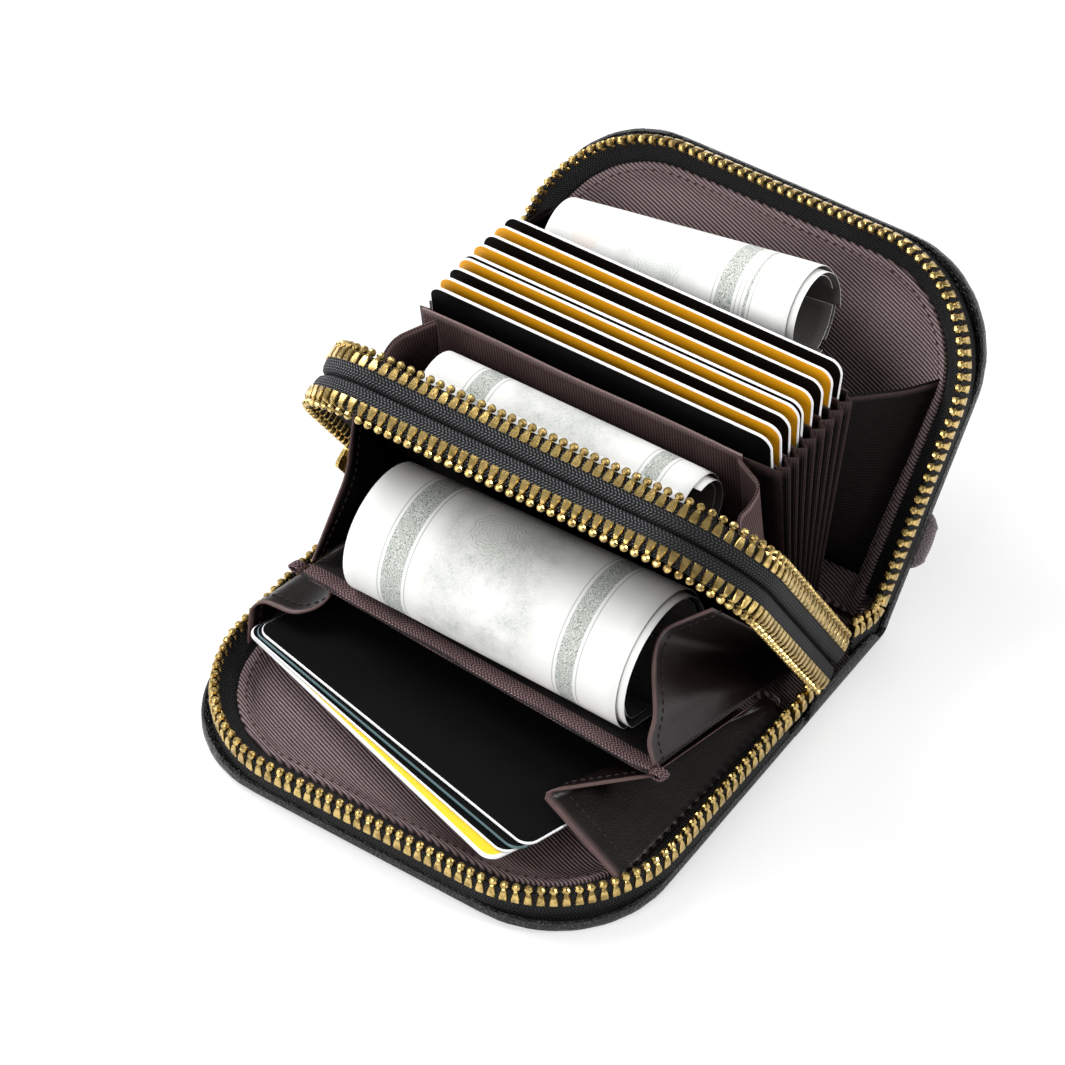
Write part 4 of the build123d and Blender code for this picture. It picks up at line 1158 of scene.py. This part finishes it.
def makeRoll(side, look, middle, panels, body, paper, folding, rest=None):
    rise = math.radians(look["rise"])
    up = (panels[0]["up"] + panels[1]["up"]).normalized()
    axis = (Vector((1, 0, 0)) * math.cos(rise) + up * math.sin(rise)).normalized()
    first = (Vector((0, 1, 0)) - axis * axis.y).normalized()
    second = axis.cross(first)
    leftEnd = middle + Vector((look["offset"] - look["length"] / 2, 0, 0))
    turns = 64
    parts = []
    for index, sheet in enumerate(wound):
        grid, flat, arc = [], [], 0.0
        alongs = spread(sheet["left"], look["length"] + sheet["right"], 24)
        for k in range(turns + 1):
            turned = sheet["sweep"] * k / turns
            angle = math.radians(look["start"] + sheet["from"] + turned)
            r = look["radius"] - 0.3 - sheet["inset"] - sheet["lap"] * look["tight"] * turned / 360
            if k:
                arc += r * math.radians(sheet["sweep"] / turns)
            line = []
            for share, along in zip(spread(0, 1, 24), alongs):
                flare = sheet["flare"] * (2 * share - 1) ** 4 * math.sin(angle * 1.5 + index)
                away = first * math.cos(angle) + second * math.sin(angle)
                away = away * (r + flare) * (1 + look["taper"] * (share - 0.5))
                if rest and away.dot(rest[0]) > rest[1] - sheet["inset"]:  # pressed flat where it lies on a panel
                    away -= rest[0] * (away.dot(rest[0]) - rest[1] + sheet["inset"]) * 0.9
                line.append(leftEnd + axis * along + away)
            grid.append(line)
            flat.append([(along, arc + index * 31) for along in alongs])
        parts.append(sheetFrom(f"{side}Sheet{index}", grid, flat, 0.16, [paper, shadedPaper], twoSided=(1, 0)))
    settle(joined(f"{side}NoteRoll", parts), body, "note_paper", f"{side}_note_roll", squash=folding)


rolls = {
    "front": {"radius": 16.3, "length": 69.0, "offset": 0.4, "start": 285.0, "rise": 0.0, "taper": 0.08, "tight": 1.0},
    "middle": {"radius": 9.8, "length": 66.0, "offset": -6.5, "start": 120.0, "rise": 0.0, "taper": 0.0, "tight": 0.9},
    "rear": {"radius": 11.5, "length": 62.0, "offset": -11.0, "start": 300.0, "rise": 6.5, "taper": 0.16, "tight": 0.9},
}
paper = makeNotePaper("frontNotePaper", ((9.5, 15.0), (54.0, 58.5)), (17.5, 50.0), ((30.0, 46.0, 6.0, (0.3, 0.36, 0.28)),))
middle = wedgeMiddle(pocketPanel, 0.35, 1, dividerPanel, -0.95, -1, 14.5) + Vector((0, -5.6, 0.3))
folding = towards("front_cover_fold", pocketPanel, 0.4, 0.06)
pressed = (-pocketPanel["face"], 13.0)
makeRoll("front", rolls["front"], middle, (pocketPanel, dividerPanel), "front_pocket", paper, folding, pressed)
paper = makeNotePaper("middleNotePaper", ((10.5, 15.5), (54.5, 58.5)), (17.5, 50.0))
middle = wedgeMiddle(dividerPanel, 0.95, 1, leafPanel(1), -0.25, -1, 9.8)
folding = towards("front_cover_fold", dividerPanel, 1.0, 0.04)
makeRoll("middle", rolls["middle"], middle, (dividerPanel, leafPanel(1)), "divider", paper, folding)
rosettes = ((10.0, 35.0, 3.0, (0.9, 0.5, 0.25)), (29.0, 37.0, 5.5, (0.3, 0.45, 0.35)))
paper = makeNotePaper("rearNotePaper", ((44.0, 48.5), (51.0, 52.0)), (18.0, 40.0), rosettes)
middle = wedgeMiddle(leafPanel(10), 0.25, 1, rearPanel, 0.0, 1, 11.5)
folding = towards("rear_cover_fold", rearPanel, 0.1, 0.03)
makeRoll("rear", rolls["rear"], middle, (leafPanel(10), rearPanel), "rear_cover", paper, folding)
print("notes made")

# Hem stitches on the linings
hem = {"inset": 6.5, "level": 3.0, "start": 8.0, "lineStep": 0.8, "pitch": 2.1, "wobble": 2.5}
for side, panel in covers:
    hemHalf, hemHeight, hemRadius = [row[key] - hem["inset"] for key in ("half", "height", "coverRadius")]
    line = []
    shape = (hemHalf, hemHeight, hemRadius, hem["start"], hem["start"], hem["lineStep"])
    for x, reach, outX, outReach, _ in uLine(*shape):
        outward = Vector((outX, 0, 0)) + panel["up"] * outReach
        line.append((spot(panel, x, reach, hem["level"]), (panel["face"] * 0.85 - outward * 0.5).normalized()))
    piece = alongLine(f"{side}HemStitches", line, stitchForm, hem["pitch"], thread, hem["wobble"])
    settle(piece, f"{side}_cover", "thread")

# Row ends: the teeth and tape that turn in to the closed ends of the zips
rowEnds = (  # where the rows meet, and where the cloth starts and ends its bend (y and z)
    ("front", frontPanel, (54.6, -10.6, 6.2), (-12.0, 3.0), (-19.5, 3.0)),
    ("rear", rearPanel, (54.6, 5.4, 9.4), (12.0, 3.0), (16.5, 9.0)),
)
for side, panel, meeting, bendStart, bendEnd in rowEnds:
    begin = spot(panel, row["half"], row["rightStart"] + 0.2, tooth["legBottom"])
    bend = spot(panel, row["half"] + 0.3, 1.5, tooth["legBottom"] - 0.6)
    line = curveThrough(begin, bend, Vector(meeting), 24)
    lifts = [panel["face"].lerp(Vector((0, 0, 1)), min(1.0, k / 14)).normalized() for k in range(25)]
    teeth = alongLine(f"{side}RowEndTeeth", list(zip(line, lifts)), toothForm, 2.35, brass, 2.5, 5)
    grid = [[p + lift * rise for p, lift in zip(line, lifts)] for rise in (1.5, 0.8)]
    grid += [[Vector((p.x - 0.4 * drop, p.y, p.z + (2.4 - p.z) * drop)) for p in line] for drop in (0.3, 0.6, 0.85, 1.0)]
    flat = [[(j * 0.7, i * 1.5) for j in range(25)] for i in range(len(grid))]
    cloth = sheetFrom(f"{side}RowEndTape", grid, flat, 0.7, [coverWeave])
    for piece, slot in ((teeth, "brass"), (cloth, "zip_tape")):
        start, end = [(0, y * mm, z * mm) for y, z in (bendStart, bendEnd)]
        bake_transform(piece)
print("row ends made")

# Side tab: a folded strip of cloth sewn behind the rear cover, narrower towards its end
tab = {
    "reach": (14.0, 26.8), "x": (45.2, 57.8), "middle": 20.4, "out": -3.1, "crown": 0.25, "dip": 0.3,
    "narrow": 0.35, "thickness": 1.05, "cells": 16, "straight": 10,
}
rows = []
for j, reach in enumerate(spread(*tab["reach"], tab["cells"])):
    line = []
    for i, x in enumerate(spread(*tab["x"], tab["cells"])):
        end = max(0.0, (i - tab["straight"]) / (tab["cells"] - tab["straight"]))
        narrow = 1 - tab["narrow"] * end ** 3
        out = tab["out"] - tab["crown"] * math.sin(math.pi * j / tab["cells"]) - tab["dip"] * end
        line.append(spot(rearPanel, x, tab["middle"] + (reach - tab["middle"]) * narrow, out))
    rows.append(line)
flat = [[(p.x, j * 0.8) for p in line] for j, line in enumerate(rows)]
settle(sheetFrom("sideTab", rows, flat, tab["thickness"], [tabCloth]), "rear_cover", "tab", "side_tab")

# Carried-over parts: boards, base, stops, sliders and pulls take a finish on their own faces
carriedOver = (
    (boardGrey, ("front_cover_board", "rear_cover_board", "divider_board")),
    (smoothBrown, ("accordion_base",)),
    (leather, ("zip_stops",)),
    (pullBrass, ("front_slider", "rear_slider", "front_pull", "rear_pull")),
)
for material, names in carriedOver:
    for name in names:
        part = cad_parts[name]
        part.data.materials.clear()
        part.data.materials.append(material)
for form in (toothForm, stitchForm):
    bpy.data.objects.remove(form)
print("carried-over parts dressed")

# Floor, light and camera
studio = {
    "floor": 1.6, "floorGlow": 0.5, "worldLight": 0.42, "glossLight": 0.3,
    "lamps": {  # place, aim, size and energy
        "keyLight": ((-0.62, 0.02, 0.6), (0, -0.03, 0.03), 0.5, 7.2),
        "frontLight": ((-0.15, -0.8, 0.5), (0, -0.03, 0.04), 0.5, 4.8),
        "backLight": ((-0.1, 0.7, 0.6), (0, 0, 0.04), 0.4, 1.9),
        "glintLight": ((0.62, 0.16, 0.4), (0.055, 0, 0.01), 0.12, 2.5),
    },
}
floorMesh = bpy.data.meshes.new("studioFloor")
corners = [(x * studio["floor"], y * studio["floor"], -0.0003) for x, y in ((-1, -1), (1, -1), (1, 1), (-1, 1))]
floorMesh.from_pydata(corners, [], [(0, 1, 2, 3)])
floorFinish, tree, shader = finish("paleFloor", 0.6, (0.93, 0.93, 0.94))
seen = node(tree, "ShaderNodeLightPath").outputs["Is Camera Ray"]
glow = node(tree, "ShaderNodeEmission", {"Color": (1, 1, 1, 1), "Strength": 1.0})
blended = {0: times(seen, studio["floorGlow"]), 1: shader.outputs[0], 2: glow.outputs[0]}
tree.links.new(node(tree, "ShaderNodeMixShader", blended).outputs[0], tree.nodes["Material Output"].inputs[0])
floorMesh.materials.append(floorFinish)
placed("studioFloor", floorMesh)

world = bpy.data.worlds.new("studioWorld")
world.use_nodes = True
bpy.context.scene.world = world
tree = world.node_tree
paths = node(tree, "ShaderNodeLightPath").outputs
glossy = scaled(paths["Is Glossy Ray"], studio["glossLight"] - studio["worldLight"], studio["worldLight"])
tree.links.new(calc("MAXIMUM", paths["Is Camera Ray"], glossy), tree.nodes["Background"].inputs["Strength"])
tree.nodes["Background"].inputs["Color"].default_value = (1, 1, 1, 1)


def aimed(holder, place, way):
    holder.location = place
    holder.rotation_mode = "QUATERNION"
    holder.rotation_quaternion = way.to_track_quat("-Z", "Y")


for name, (place, aim, size, energy) in studio["lamps"].items():
    lamp = bpy.data.lights.new(name, "AREA")
    lamp.size, lamp.energy = size, energy
    aimed(placed(name, lamp), place, Vector(aim) - Vector(place))

shot = {
    "azimuth": 34.296, "elevation": 45.074, "distance": 0.86749, "target": (-0.00475, -0.0288, 0.03457),
    "focalPixels": 4136.013, "framePixels": 1065, "sensor": 36,
}
cameraData = bpy.data.cameras.new("shot")
cameraData.sensor_width = shot["sensor"]
cameraData.lens = shot["focalPixels"] / shot["framePixels"] * shot["sensor"]
cameraData.clip_start, cameraData.clip_end = 0.05, 20
camera = placed("shot", cameraData)
bpy.context.scene.camera = camera
a, e = math.radians(shot["azimuth"]), math.radians(shot["elevation"])
back = Vector((math.sin(a) * math.cos(e), -math.cos(a) * math.cos(e), math.sin(e)))
aimed(camera, Vector(shot["target"]) + back * shot["distance"], -back)
bpy.context.scene.view_settings.view_transform = "Standard"
print("studio made")
